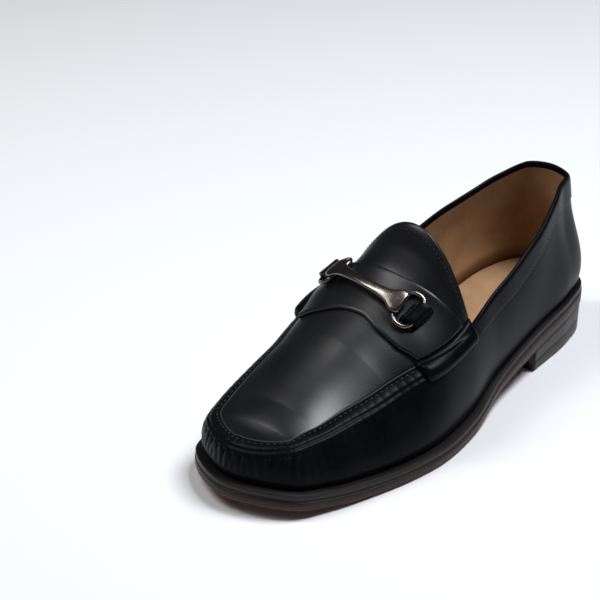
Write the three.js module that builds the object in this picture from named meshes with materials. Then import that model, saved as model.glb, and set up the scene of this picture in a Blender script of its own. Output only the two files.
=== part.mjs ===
// A left loafer with a moccasin seam, a saddle strap and a metal bit.
// Millimetres, +Z up, toe towards -Y, outer side of the foot towards +X.
// The origin is on the floor, at the middle of the heel's seat.

import * as THREE from 'three';
import { mergeVertices } from 'three/addons/utils/BufferGeometryUtils.js';

// Sizes of the whole shoe
const LENGTH = 300;            // sole, back of the heel to tip of the toe
const BALL_WIDTH = 106;        // sole across the ball of the foot
const COLLAR_RISE = 70;        // welt to topline at the back of the heel
const INSTEP_RISE = 100;       // welt to the tip of the tongue

// Sole
const HEEL_HEIGHT = 19;        // floor to outsole at the back of the heel
const HEEL_LENGTH = 76;        // heel block, back to breast
const HEEL_SET_IN = 0.6;       // heel block's top edge inside the sole edge
const HEEL_TAPER = 0.6;        // heel block, set in again at the floor
const TOE_SPRING = 6.6;        // floor to outsole at the tip of the toe
const SOLE_THICKNESS = 5.4;    // outsole edge at the forefoot
const SHANK_THICKNESS = 8;     // outsole edge at the waist and heel
const SOLE_BEVEL = 0.8;        // lower corner of the outsole edge
const WELT_THICKNESS = 3.8;
const WELT_STEP = 0.4;         // welt set in from the outsole edge
const WELT_BEVEL = 0.7;        // upper corner of the welt
const LEDGE_TOE = 5.6;         // sole edge to upper, round the forefoot
const LEDGE_HEEL = 3.3;        // sole edge to upper, round the heel
const INSOLE_RISE = 2;         // insole above the welt

// Upper
const WALL = 2.2;              // leather and lining of the wall
const PLUG_THICKNESS = 2.2;    // leather and lining of the apron and tongue
const SEAM_RAISE = 1.6;        // moccasin seam above the leather beside it
const BAND_RAISE = 0.5;        // collar band above the quarters
const RIM_ROUND = 0.8;         // rounding of the collar's edge
const SADDLE_THICKNESS = 1.8;
const ROLL_HEIGHT = 3.8;       // rolled leather above the seam
const GAP = 0.3;               // between pieces that are sewn or glued together
const SADDLE_GAP = 0.5;        // the strap spans the apron's facets

// Metal bit and its keepers
const BAR_THICKNESS = 2.6;
const BAR_FLARE = 14.5;        // width of the bar's flared ends
const BAR_HOVER = 4.3;         // bar above the saddle
const RING_WIRE = 2.4;
const RING_LENGTH = 21;        // ring along the shoe, between wire centres
const RING_REACH = 13;         // ring across, from under the bar's end to the keeper
const RING_TUCK = 3.2;         // ring's inner side, in from the bar's end
const KEEPER_WIDTH = 14;
const KEEPER_THICKNESS = 1.3;

// Sampling
const REAR_SAMPLES = 22;       // ring samples from the heel to the throat on each side
const FRONT_SAMPLES = 26;      // and from the throat to the tip of the toe
const HALF = REAR_SAMPLES + FRONT_SAMPLES;
const RING = 2 * HALF;
const WALL_ROWS = 6;           // rows from the welt to the top strip
const PLUG_COLUMNS = 12;

// Sole edge: shares of the length, and half widths as shares of the ball width
const SOLE_OUTLINE = [
  { at: 0.033, lateral: 0.233, medial: 0.221 },
  { at: 0.115, lateral: 0.322, medial: 0.312 },
  { at: 0.25, lateral: 0.372, medial: 0.321 },
  { at: 0.4, lateral: 0.436, medial: 0.283 },
  { at: 0.515, lateral: 0.529, medial: 0.312 },
  { at: 0.63, lateral: 0.574, medial: 0.413 },
  { at: 0.715, lateral: 0.554, medial: 0.462 },
  { at: 0.8, lateral: 0.501, medial: 0.457 },
  { at: 0.883, lateral: 0.43, medial: 0.42 },
  { at: 0.95, lateral: 0.33, medial: 0.326 },
];
const TOE_TIP = -0.02;         // tip of the toe towards the inner side, share of the ball width

// Outsole from the side: shares of the heel's height, the toe spring and the shank's extra
const SOLE_PROFILE = [
  { at: 0, heel: 1, spring: 0, shank: 1 },
  { at: 0.133, heel: 0.915, spring: 0, shank: 1 },
  { at: 0.25, heel: 0.715, spring: 0, shank: 1 },
  { at: 0.367, heel: 0.47, spring: 0, shank: 0.45 },
  { at: 0.483, heel: 0.15, spring: 0, shank: 0.02 },
  { at: 0.583, heel: 0.01, spring: 0, shank: 0 },
  { at: 0.63, heel: 0, spring: 0, shank: 0 },
  { at: 0.73, heel: 0, spring: 0, shank: 0 },
  { at: 0.83, heel: 0, spring: 0.16, shank: 0 },
  { at: 0.92, heel: 0, spring: 0.6, shank: 0 },
  { at: 1, heel: 0, spring: 1, shank: 0 },
];

// Wall of the upper. topIn and rowIn: how far the top edge and the lower edge of its strip lie
// inside the sole edge, low and high: how far the wall swells out, all shares of the ball width.
// top and row: their heights above the welt, shares of the rise at that place.
// seam and band: how much of the seam's or band's step the strip has.
const LATERAL_WALL = [
  { at: 0, topIn: 0.115, top: 0.985, rowIn: 0.098, row: 0.785, low: 0.06, high: 0.014, seam: 0, band: 1 },
  { at: 0.1, topIn: 0.108, top: 1.01, rowIn: 0.094, row: 0.8, low: 0.058, high: 0.016, seam: 0, band: 1 },
  { at: 0.153, topIn: 0.082, top: 0.965, rowIn: 0.073, row: 0.78, low: 0.042, high: 0.02, seam: 0, band: 1 },
  { at: 0.25, topIn: 0.039, top: 0.783, rowIn: 0.031, row: 0.61, low: 0.025, high: 0.02, seam: 0, band: 1 },
  { at: 0.337, topIn: 0.037, top: 0.632, rowIn: 0.025, row: 0.475, low: 0.022, high: 0.022, seam: 0, band: 1 },
  { at: 0.427, topIn: 0.06, top: 0.537, rowIn: 0.04, row: 0.43, low: 0.024, high: 0.026, seam: 0, band: 1 },
  { at: 0.487, topIn: 0.083, top: 0.501, rowIn: 0.054, row: 0.425, low: 0.026, high: 0.03, seam: 0, band: 0 },
  { at: 0.55, topIn: 0.11, top: 0.471, rowIn: 0.064, row: 0.412, low: 0.028, high: 0.034, seam: 0, band: 0 },
  { at: 0.6, topIn: 0.145, top: 0.453, rowIn: 0.076, row: 0.395, low: 0.03, high: 0.038, seam: 0.3, band: 0 },
  { at: 0.65, topIn: 0.195, top: 0.428, rowIn: 0.106, row: 0.37, low: 0.033, high: 0.042, seam: 1, band: 0 },
  { at: 0.717, topIn: 0.222, top: 0.38, rowIn: 0.134, row: 0.316, low: 0.033, high: 0.038, seam: 1, band: 0 },
  { at: 0.8, topIn: 0.226, top: 0.318, rowIn: 0.13, row: 0.266, low: 0.033, high: 0.033, seam: 1, band: 0 },
  { at: 0.883, topIn: 0.199, top: 0.262, rowIn: 0.11, row: 0.218, low: 0.028, high: 0.028, seam: 1, band: 0 },
  { at: 0.95, topIn: 0.161, top: 0.228, rowIn: 0.082, row: 0.185, low: 0.024, high: 0.024, seam: 1, band: 0 },
  { at: 1, topIn: 0.132, top: 0.2, rowIn: 0.06, row: 0.145, low: 0.022, high: 0.02, seam: 1, band: 0 },
];
const MEDIAL_WALL = [
  { at: 0, topIn: 0.115, top: 0.985, rowIn: 0.098, row: 0.785, low: 0.06, high: 0.014, seam: 0, band: 1 },
  { at: 0.1, topIn: 0.09, top: 0.924, rowIn: 0.07, row: 0.735, low: 0.05, high: 0.018, seam: 0, band: 1 },
  { at: 0.207, topIn: 0.044, top: 0.83, rowIn: 0.024, row: 0.64, low: 0.025, high: 0.02, seam: 0, band: 1 },
  { at: 0.347, topIn: 0, top: 0.68, rowIn: -0.012, row: 0.535, low: 0.018, high: 0.02, seam: 0, band: 1 },
  { at: 0.433, topIn: -0.036, top: 0.617, rowIn: -0.045, row: 0.48, low: 0.016, high: 0.02, seam: 0, band: 1 },
  { at: 0.487, topIn: -0.04, top: 0.59, rowIn: -0.06, row: 0.475, low: 0.016, high: 0.022, seam: 0, band: 0 },
  { at: 0.533, topIn: -0.04, top: 0.57, rowIn: -0.072, row: 0.485, low: 0.018, high: 0.028, seam: 0, band: 0 },
  { at: 0.583, topIn: -0.016, top: 0.545, rowIn: -0.06, row: 0.47, low: 0.022, high: 0.033, seam: 0.2, band: 0 },
  { at: 0.643, topIn: 0.072, top: 0.49, rowIn: 0.012, row: 0.42, low: 0.026, high: 0.038, seam: 1, band: 0 },
  { at: 0.733, topIn: 0.151, top: 0.413, rowIn: 0.078, row: 0.34, low: 0.03, high: 0.036, seam: 1, band: 0 },
  { at: 0.847, topIn: 0.149, top: 0.297, rowIn: 0.072, row: 0.235, low: 0.03, high: 0.03, seam: 1, band: 0 },
  { at: 0.92, topIn: 0.13, top: 0.22, rowIn: 0.056, row: 0.165, low: 0.026, high: 0.026, seam: 1, band: 0 },
  { at: 1, topIn: 0.132, top: 0.2, rowIn: 0.06, row: 0.145, low: 0.022, high: 0.02, seam: 1, band: 0 },
];

// Apron and tongue: height of their middle above the line between the seams, a share of the
// instep's rise; the exponent that turns the arch from a square one to a peaked one; and how far
// the middle lies ahead of the seams, a share of the length. skew moves the arch outwards.
const PLUG_ARCH = [
  { at: 0.49, crown: 0.455, round: 0.88, lean: 0.008, skew: 0.07 },
  { at: 0.52, crown: 0.35, round: 0.84, lean: 0.007, skew: 0.05 },
  { at: 0.555, crown: 0.255, round: 0.8, lean: 0.005, skew: 0.03 },
  { at: 0.6, crown: 0.2, round: 0.82, lean: 0.003, skew: 0 },
  { at: 0.65, crown: 0.168, round: 0.88, lean: 0, skew: 0 },
  { at: 0.717, crown: 0.135, round: 0.95, lean: 0, skew: 0 },
  { at: 0.8, crown: 0.1, round: 1, lean: 0, skew: 0 },
  { at: 0.883, crown: 0.062, round: 1, lean: 0, skew: 0 },
  { at: 0.95, crown: 0.018, round: 1, lean: 0, skew: 0 },
  { at: 0.97, crown: 0, round: 1, lean: 0, skew: 0 },
];

// Saddle: where its rear and front edges run, across from the inner side (-1) to the outer (1)
const SADDLE_EDGES = [
  { at: -1, rear: 0.525, front: 0.665 },
  { at: -0.6, rear: 0.546, front: 0.66 },
  { at: -0.2, rear: 0.551, front: 0.648 },
  { at: 0.1, rear: 0.55, front: 0.645 },
  { at: 0.4, rear: 0.543, front: 0.652 },
  { at: 0.7, rear: 0.531, front: 0.649 },
  { at: 1, rear: 0.515, front: 0.628 },
];
const SADDLE_ROWS = 5;
const THROAT = 0.49;           // share of the length where the tongue's edge stands
const ROLL_SPAN = [0.485, 0.64];  // rolled leather, rear and front ends
const BIT_AT = 0.597;          // place of the bit's middle along the foot
const BIT_SWEEP = 0.042;       // and how far its ends sweep back
const BAR_ENDS = { lateral: 7.75, medial: 3.1 };  // ends of the bar, in apron columns

// Half of the bar, from its middle to its end: half width as a share of the flare
const BAR_SHAPE = [
  { at: 0, half: 0.18 },
  { at: 0.35, half: 0.2 },
  { at: 0.55, half: 0.24 },
  { at: 0.68, half: 0.31 },
  { at: 0.78, half: 0.43 },
  { at: 0.87, half: 0.5 },
  { at: 1, half: 0.47 },
];
// Section of the bar: across, a share of its half width, and up, a share of its thickness
const BAR_SECTION = [[-1, 0.3], [-0.8, 0.8], [-0.3, 1], [0.3, 1], [0.8, 0.8], [1, 0.3], [0.85, 0], [-0.85, 0]];
// Keeper over the ring: distance out from the wire, and height as a share of what clears it
const KEEPER_FOLD = [
  { out: -7, rise: 0 },
  { out: -4.9, rise: 0 },
  { out: -4.2, rise: 0.5 },
  { out: -3.1, rise: 1.08 },
  { out: 0, rise: 1.15 },
  { out: 2.1, rise: 1.05 },
  { out: 3.1, rise: 0.5 },
  { out: 4, rise: 0 },
];

const BLACK_LEATHER = { color: 0x0d0e12, roughness: 0.32, metalness: 0 };
const MATERIALS = {
  upper: BLACK_LEATHER,
  edge: { color: 0x17120f, roughness: 0.45, metalness: 0 },
  sole: { color: 0x2a1c16, roughness: 0.5, metalness: 0 },
  insole: { color: 0xa87442, roughness: 0.7, metalness: 0 },
  metal: { color: 0x8a837c, roughness: 0.25, metalness: 1 },
};

// Value of a table's column at a place, on a smooth curve that does not overshoot its rows
function read(table, column, at) {
  const last = table.length - 1;
  if (at <= table[0].at) return table[0][column];
  if (at >= table[last].at) return table[last][column];
  let k = 0;
  while (at > table[k + 1].at) k += 1;
  const slope = (j) => (table[j + 1][column] - table[j][column]) / (table[j + 1].at - table[j].at);
  const tangent = (j) => {
    if (j === 0 || j === last) return 0;
    const before = slope(j - 1);
    const after = slope(j);
    return before * after <= 0 ? 0 : (2 * before * after) / (before + after);
  };
  const span = table[k + 1].at - table[k].at;
  const u = (at - table[k].at) / span;
  const v = 1 - u;
  return table[k][column] * v * v * (1 + 2 * u) + table[k + 1][column] * u * u * (1 + 2 * v)
    + span * u * v * (v * tangent(k) - u * tangent(k + 1));
}

const bottomAt = (at) => HEEL_HEIGHT * read(SOLE_PROFILE, 'heel', at)
  + TOE_SPRING * read(SOLE_PROFILE, 'spring', at);
const soleTopAt = (at) => bottomAt(at) + SOLE_THICKNESS
  + (SHANK_THICKNESS - SOLE_THICKNESS) * read(SOLE_PROFILE, 'shank', at);
const weltTopAt = (at) => soleTopAt(at) + GAP + WELT_THICKNESS;
const ledgeAt = (at) => LEDGE_HEEL + (LEDGE_TOE - LEDGE_HEEL) * THREE.MathUtils.smoothstep(at, 0.3, 0.6);
const riseAt = (at) => COLLAR_RISE
  + (INSTEP_RISE - COLLAR_RISE) * THREE.MathUtils.smoothstep(at, 0.15, 0.5);

// Sole edge as a closed curve: heel, outer side, toe, inner side
const HEEL_CENTRE = HEEL_LENGTH / 2;
function soleCurve() {
  const point = (share, at) => new THREE.Vector3(share * BALL_WIDTH, HEEL_CENTRE - at * LENGTH, 0);
  const outer = SOLE_OUTLINE.map((row) => point(row.lateral, row.at));
  const inner = SOLE_OUTLINE.map((row) => point(-row.medial, row.at)).reverse();
  return new THREE.CatmullRomCurve3([point(0, 0), ...outer, point(TOE_TIP, 1), ...inner], true);
}

// Samples round the sole edge, even on each stretch between heel, throat and toe. Each has its
// outward normal and its side of the foot.
function ringSamples() {
  const curve = soleCurve();
  const knots = 2 * SOLE_OUTLINE.length + 2;
  const tip = knots / 2 / knots;
  const placeAt = (t) => (HEEL_CENTRE - curve.getPoint(t).y) / LENGTH;
  const throatOn = (from, to) => {
    let [low, high] = [from, to];
    for (let i = 0; i < 40; i += 1) {
      const middle = (low + high) / 2;
      if (placeAt(middle) < THROAT) low = middle; else high = middle;
    }
    return low;
  };
  const even = (from, to, count) => {
    const fine = 400;
    const lengths = [0];
    for (let i = 1; i <= fine; i += 1) {
      const here = curve.getPoint(from + ((to - from) * i) / fine);
      const before = curve.getPoint(from + ((to - from) * (i - 1)) / fine);
      lengths.push(lengths[i - 1] + here.distanceTo(before));
    }
    let i = 0;
    return Array.from({ length: count }, (_, k) => {
      const goal = (lengths[fine] * k) / count;
      while (lengths[i + 1] < goal) i += 1;
      const share = (i + (goal - lengths[i]) / (lengths[i + 1] - lengths[i])) / fine;
      return from + (to - from) * share;
    });
  };
  const outerThroat = throatOn(0, tip);
  const innerThroat = throatOn(1, tip);
  const stretches = [
    ...even(0, outerThroat, REAR_SAMPLES),
    ...even(outerThroat, tip, FRONT_SAMPLES),
    ...even(tip, innerThroat, FRONT_SAMPLES),
    ...even(innerThroat, 1, REAR_SAMPLES),
  ];
  return stretches.map((t, index) => {
    const place = curve.getPoint(t);
    const along = curve.getTangent(t);
    return {
      x: place.x,
      y: place.y,
      at: (HEEL_CENTRE - place.y) / LENGTH,
      nx: -along.y,
      ny: along.x,
      wall: index <= HALF ? LATERAL_WALL : MEDIAL_WALL,
    };
  });
}

const ring = ringSamples();

// Point of a ring sample, set in from the sole edge, at a height
function inset(sample, distance, z) {
  return new THREE.Vector3(sample.x - sample.nx * distance, sample.y - sample.ny * distance, z);
}

// Outer surface of the wall at one sample, without the raised strip: rows from the welt up
function wallRows(sample) {
  const { at, wall } = sample;
  const width = (column) => BALL_WIDTH * read(wall, column, at);
  const foot = weltTopAt(at) + GAP;
  const height = (column) => foot + riseAt(at) * read(wall, column, at);
  const row = height('row');
  const top = height('top');
  const third = (row - foot) / 3;
  const curve = new THREE.CubicBezierCurve(
    new THREE.Vector2(ledgeAt(at), foot),
    new THREE.Vector2(ledgeAt(at) - width('low'), foot + third),
    new THREE.Vector2(width('rowIn') - width('high'), row - third),
    new THREE.Vector2(width('rowIn'), row),
  );
  const rows = curve.getPoints(WALL_ROWS).map((p) => inset(sample, p.x, p.y));
  for (const share of STRIP.slice(1).map((step) => step.across)) {
    rows.push(inset(
      sample,
      THREE.MathUtils.lerp(width('rowIn'), width('topIn'), share),
      THREE.MathUtils.lerp(row, top, share),
    ));
  }
  return rows;
}

// Section of the raised strip along the top of the wall: moccasin seam, or collar band
const STRIP = [
  { across: 0, raise: 0 },
  { across: 0.14, raise: 0.8 },
  { across: 0.38, raise: 1 },
  { across: 0.64, raise: 1 },
  { across: 0.88, raise: 0.8 },
  { across: 1, raise: 0 },
];
const TOP = WALL_ROWS + STRIP.length - 1;

// Unit normals of a grid of points. closed: its rows go round and meet.
function gridNormals(grid, closed) {
  const count = grid.length;
  return grid.map((line, i) => line.map((point, j) => {
    const before = closed ? grid[(i + count - 1) % count] : grid[Math.max(i - 1, 0)];
    const after = closed ? grid[(i + 1) % count] : grid[Math.min(i + 1, count - 1)];
    const along = new THREE.Vector3().subVectors(after[j], before[j]);
    const up = new THREE.Vector3().subVectors(
      line[Math.min(j + 1, line.length - 1)],
      line[Math.max(j - 1, 0)],
    );
    return up.cross(along).normalize();
  }));
}

const shift = (point, direction, distance) => point.clone().addScaledVector(direction, distance);
const between = (a, b, share) => a.clone().lerp(b, share);

const wallBase = ring.map(wallRows);
const wallNormals = gridNormals(wallBase, true);

// Mesh from loops of points that are joined one to the next. Loops that do not go round are
// closed at both ends by a strip between the two halves of the end loop.
function loft(name, loops, material, round = false) {
  const faces = [];
  const quad = (a, b, c, d) => faces.push([a, b, c], [a, c, d]);
  const size = loops[0].length;
  const pairs = round ? loops.length : loops.length - 1;
  for (let i = 0; i < pairs; i += 1) {
    const here = loops[i];
    const next = loops[(i + 1) % loops.length];
    for (let j = 0; j < size; j += 1) {
      const k = (j + 1) % size;
      quad(here[j], here[k], next[k], next[j]);
    }
  }
  if (!round) {
    const cap = (loop, flip) => {
      for (let j = 0; j < size / 2 - 1; j += 1) {
        const corners = [loop[j], loop[size - 1 - j], loop[size - 2 - j], loop[j + 1]];
        if (flip) corners.reverse();
        quad(...corners);
      }
    };
    cap(loops[0], false);
    cap(loops[loops.length - 1], true);
  }
  return solid(name, faces, material);
}

// Closed mesh from triangles: equal corners are joined and flat triangles are dropped
function solid(name, faces, material) {
  const soup = new THREE.BufferGeometry();
  soup.setAttribute('position', new THREE.Float32BufferAttribute(
    faces.flat().flatMap((p) => [p.x, p.y, p.z]),
    3,
  ));
  const geometry = mergeVertices(soup, 1e-3);
  const index = Array.from(geometry.index.array);
  const kept = [];
  const position = geometry.getAttribute('position');
  const corner = (i) => new THREE.Vector3().fromBufferAttribute(position, i);
  let volume = 0;
  for (let i = 0; i < index.length; i += 3) {
    const [a, b, c] = index.slice(i, i + 3);
    if (a !== b && b !== c && c !== a) {
      kept.push([a, b, c]);
      volume += corner(a).dot(corner(b).cross(corner(c)));
    }
  }
  if (volume < 0) kept.forEach((face) => face.reverse());
  geometry.setIndex(kept.flat());
  geometry.computeVertexNormals();
  const mesh = new THREE.Mesh(geometry, new THREE.MeshStandardMaterial(material));
  mesh.name = name;
  return mesh;
}

const stripRaise = ({ at, wall }) => SEAM_RAISE * read(wall, 'seam', at)
  + BAND_RAISE * read(wall, 'band', at);

// Upper: outer surface with its raised strip, rounded rim, and inner surface
function makeUpper() {
  const loops = ring.map((sample, i) => {
    const { at, wall } = sample;
    const raise = stripRaise(sample);
    const rounding = RIM_ROUND * read(wall, 'band', at);
    const base = wallBase[i];
    const normals = wallNormals[i];
    const outer = base.map((point, j) => {
      const step = STRIP[j - WALL_ROWS];
      return step ? shift(point, normals[j], raise * step.raise) : point;
    });
    const inner = [];
    for (const j of [TOP, TOP - 2, WALL_ROWS, WALL_ROWS - 2, 2]) {
      inner.push(shift(base[j], normals[j], -WALL));
    }
    const foot = inset(sample, ledgeAt(at) + WALL, base[0].z);
    const up = new THREE.Vector3().subVectors(base[TOP], base[TOP - 1]).normalize();
    const rim = shift(between(outer[TOP], inner[0], 0.5), up, rounding);
    return [...outer, rim, ...inner, foot];
  });
  return loft('upper', loops, MATERIALS.upper, true);
}

// Place of an apron column across the foot, from the inner seam (-1) to the outer one (1)
const acrossOf = (column) => Math.sin(Math.PI * (column / PLUG_COLUMNS - 0.5));

// Apron and tongue: rungs from the inner seam to the outer one, from the toe to the throat
function plugGrid() {
  const rungs = [];
  const normals = wallNormals;
  for (let k = 0; k <= FRONT_SAMPLES; k += 1) {
    const inner = HALF + k;
    const outer = HALF - k;
    const at = (ring[inner].at + ring[outer].at) / 2;
    const edge = (i) => {
      const up = new THREE.Vector3().subVectors(wallBase[i][TOP], wallBase[i][TOP - 1]).normalize();
      return {
        top: shift(wallBase[i][TOP], up, GAP),
        below: shift(shift(wallBase[i][TOP], normals[i][TOP], -PLUG_THICKNESS), up, GAP),
      };
    };
    const from = edge(inner);
    const to = edge(outer);
    const crown = INSTEP_RISE * read(PLUG_ARCH, 'crown', at);
    const round = read(PLUG_ARCH, 'round', at);
    const lean = LENGTH * read(PLUG_ARCH, 'lean', at);
    const skew = read(PLUG_ARCH, 'skew', at);
    const line = [];
    for (let j = 0; j <= PLUG_COLUMNS; j += 1) {
      const across = acrossOf(j);
      const point = between(from.top, to.top, (1 + across) / 2);
      const off = across - skew * (1 - across * across);
      point.z += crown * (1 - off * off) ** round;
      point.y -= lean * (1 - across * across) ** 0.4;
      line.push(point);
    }
    rungs.push({ at, line, below: [from.below, to.below] });
  }
  return rungs;
}

const plug = plugGrid();
const plugTop = plug.map((rung) => rung.line);
const plugNormals = gridNormals(plugTop, false).map((line) => line.map((n) => (n.z < 0 ? n.negate() : n)));
plugNormals[0] = plugNormals[0].map(() => wallNormals[HALF][TOP].clone());

function makePlug() {
  const loops = plug.map((rung, k) => {
    const below = rung.line.map((point, j) => {
      const share = (1 + acrossOf(j)) / 2;
      const mitred = point.clone()
        .sub(between(rung.line[0], rung.line[PLUG_COLUMNS], share))
        .add(between(rung.below[0], rung.below[1], share));
      const edge = Math.min(j, PLUG_COLUMNS - j);
      return between(mitred, shift(point, plugNormals[k][j], -PLUG_THICKNESS), k > 3 ? Math.min(edge / 2, 1) : 0);
    });
    return [...rung.line, ...below.reverse()];
  });
  return loft('plug', loops, MATERIALS.upper);
}

// Point of the apron's surface, and its normal, at a place along the foot and a column across
function onPlug(at, column) {
  let k = 0;
  while (k < plug.length - 2 && plug[k + 1].at > at) k += 1;
  const u = (plug[k].at - at) / (plug[k].at - plug[k + 1].at);
  const j = Math.min(Math.floor(column), PLUG_COLUMNS - 1);
  const v = column - j;
  const mix = (grid) => between(
    between(grid[k][j], grid[k][j + 1], v),
    between(grid[k + 1][j], grid[k + 1][j + 1], v),
    u,
  );
  return { point: mix(plugTop), normal: mix(plugNormals).normalize() };
}

// Saddle: a sheet over the apron between the two rolls
const ROLL_COLUMNS = 1;        // apron columns that each roll covers
const SADDLE_END = ROLL_COLUMNS + 0.2;

function saddleTop(at, column, lift = 0) {
  const { point, normal } = onPlug(at, column);
  return { point: shift(point, normal, SADDLE_GAP + SADDLE_THICKNESS + lift), normal };
}

function makeSaddle() {
  const columns = [SADDLE_END];
  for (let j = ROLL_COLUMNS + 1; j < PLUG_COLUMNS - ROLL_COLUMNS; j += 1) columns.push(j);
  columns.push(PLUG_COLUMNS - SADDLE_END);
  const loops = columns.map((column) => {
    const across = acrossOf(column);
    const rear = read(SADDLE_EDGES, 'rear', across);
    const front = read(SADDLE_EDGES, 'front', across);
    const upper = [];
    const lower = [];
    for (let i = 0; i <= SADDLE_ROWS; i += 1) {
      const at = THREE.MathUtils.lerp(rear, front, i / SADDLE_ROWS);
      const { point, normal } = onPlug(at, column);
      lower.push(shift(point, normal, SADDLE_GAP));
      upper.push(shift(point, normal, SADDLE_GAP + SADDLE_THICKNESS));
    }
    return [...upper, ...lower.reverse()];
  });
  return loft('saddle', loops, MATERIALS.upper);
}

// Rolled leather at one end of the saddle, over the wall's strip and the apron's edge
const ROLL_SECTION = [0.3, 0.34, 0.86, 1, 0.9, 0.7, 0.3];
function makeRoll(name, indexOf, columnOf) {
  const loops = [];
  plug.forEach((rung, k) => {
    const i = indexOf(k);
    if (ring[i].at < ROLL_SPAN[0] || ring[i].at > ROLL_SPAN[1]) return;
    const base = [];
    STRIP.forEach((step, j) => {
      const normal = wallNormals[i][WALL_ROWS + j];
      base.push([shift(wallBase[i][WALL_ROWS + j], normal, stripRaise(ring[i]) * step.raise), normal]);
    });
    for (let j = 1; j <= ROLL_COLUMNS; j += 1) {
      base.push([plugTop[k][columnOf(j)], plugNormals[k][columnOf(j)]]);
    }
    const lower = base.map(([point, normal]) => shift(point, normal, GAP));
    const upper = base.map(([point, normal], j) => shift(point, normal, GAP + ROLL_HEIGHT * ROLL_SECTION[j]));
    loops.push([...upper, ...lower.reverse()]);
  });
  return loft(name, loops, MATERIALS.upper);
}

const bitAt = (column) => BIT_AT - BIT_SWEEP * acrossOf(column) ** 2;
const bitPlace = (column, lift) => saddleTop(bitAt(column), column, lift);

// Column that lies a distance along the saddle from another, at the bit
function columnAlong(column, distance) {
  const step = 0.02 * Math.sign(distance);
  let here = column;
  let gone = 0;
  while (gone < Math.abs(distance)) {
    gone += bitPlace(here).point.distanceTo(bitPlace(here + step).point);
    here += step;
  }
  return here;
}

// Bar over the saddle, bent to its arch, with a flare at each end
function makeBar() {
  const shares = BAR_SHAPE.map((row) => row.at);
  const stations = [...shares.slice(1).reverse().map((share) => -share), ...shares];
  const column = (share) => THREE.MathUtils.lerp(BAR_ENDS.medial, BAR_ENDS.lateral, (1 + share) / 2);
  const loops = stations.map((share) => {
    const { point, normal } = bitPlace(column(share), BAR_HOVER);
    const ahead = bitPlace(column(share) + 0.1).point;
    const behind = bitPlace(column(share) - 0.1).point;
    const along = new THREE.Vector3().crossVectors(normal, ahead.sub(behind)).normalize();
    const half = BAR_FLARE * read(BAR_SHAPE, 'half', Math.abs(share));
    return BAR_SECTION.map(([across, up]) => shift(
      shift(point, along, half * across),
      normal,
      BAR_THICKNESS * up,
    ));
  });
  return loft('bit_bar', loops, MATERIALS.metal);
}

// Flat frame of a ring, laid on the saddle: its middle, the way out, the way along and the way up
function ringFrame(barEnd, side) {
  const inner = columnAlong(barEnd, -side * RING_TUCK);
  const outer = columnAlong(inner, side * RING_REACH);
  const from = bitPlace(inner);
  const to = bitPlace(outer);
  const out = new THREE.Vector3().subVectors(to.point, from.point).normalize();
  const along = new THREE.Vector3().crossVectors(from.normal.clone().add(to.normal), out).normalize();
  const up = new THREE.Vector3().crossVectors(out, along);
  return { middle: between(from.point, to.point, 0.5), out, along, up, bow: outer };
}

function ringLine(frame) {
  const count = 28;
  const power = (value) => Math.sign(value) * Math.abs(value) ** 0.78;
  return Array.from({ length: count }, (_, k) => {
    const angle = (2 * Math.PI * k) / count;
    const out = (RING_REACH / 2) * power(Math.cos(angle));
    const along = (RING_LENGTH / 2) * power(Math.sin(angle));
    return shift(shift(frame.middle, frame.out, out), frame.along, along);
  });
}

// Height that lifts the wire off the saddle everywhere, and the wire's greatest height above it
function ringLift(frame, line) {
  const grid = [];
  const lowest = Math.max(frame.bow - 4, 0);
  const highest = Math.min(frame.bow + 4, PLUG_COLUMNS);
  for (let column = lowest; column < highest; column += 0.1) {
    for (let off = -0.05; off < 0.05; off += 0.002) grid.push(saddleTop(bitAt(column) + off, column).point);
  }
  const heights = line.map((point) => {
    let height = -Infinity;
    for (const place of grid) {
      const offset = place.clone().sub(point);
      const up = offset.dot(frame.up);
      const beside = Math.hypot(offset.dot(frame.out), offset.dot(frame.along));
      if (beside < RING_WIRE / 2) height = Math.max(height, up);
    }
    return height;
  });
  const lift = Math.max(...heights) + RING_WIRE / 2 + GAP;
  const reach = line.map((point) => point.clone().sub(frame.middle).dot(frame.out));
  const bow = heights.filter((_, k) => reach[k] > RING_REACH * 0.4);
  return { lift, top: lift + RING_WIRE / 2 - Math.min(...bow) };
}

function makeRing(name, barEnd, side) {
  const frame = ringFrame(barEnd, side);
  const line = ringLine(frame);
  const { lift } = ringLift(frame, line);
  const sides = 6;
  const loops = line.map((point, k) => {
    const after = line[(k + 1) % line.length];
    const before = line[(k + line.length - 1) % line.length];
    const way = new THREE.Vector3().subVectors(after, before).normalize();
    const outward = new THREE.Vector3().crossVectors(way, frame.up);
    return Array.from({ length: sides }, (_, j) => {
      const angle = (2 * Math.PI * (j + 0.5)) / sides;
      return shift(
        shift(point, outward, (RING_WIRE / 2) * Math.cos(angle)),
        frame.up,
        lift + (RING_WIRE / 2) * Math.sin(angle),
      );
    });
  });
  return loft(name, loops, MATERIALS.metal, true);
}

// Strap end folded over a ring's outer side and sewn to the saddle
function makeKeeper(name, barEnd, side) {
  const frame = ringFrame(barEnd, side);
  const { top } = ringLift(frame, ringLine(frame));
  const halfSpan = (KEEPER_WIDTH / 2 / LENGTH) * 0.93;
  const shares = [-1, -0.33, 0.33, 1];
  const loops = KEEPER_FOLD.map((row) => {
    const column = columnAlong(frame.bow, side * row.out || 1e-6);
    const edge = (lift) => shares.map((share) => (
      saddleTop(bitAt(column) + share * halfSpan, column, lift).point
    ));
    const below = GAP + top * row.rise;
    return [...edge(below + KEEPER_THICKNESS), ...edge(below).reverse()];
  });
  return loft(name, loops, MATERIALS.upper);
}

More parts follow.
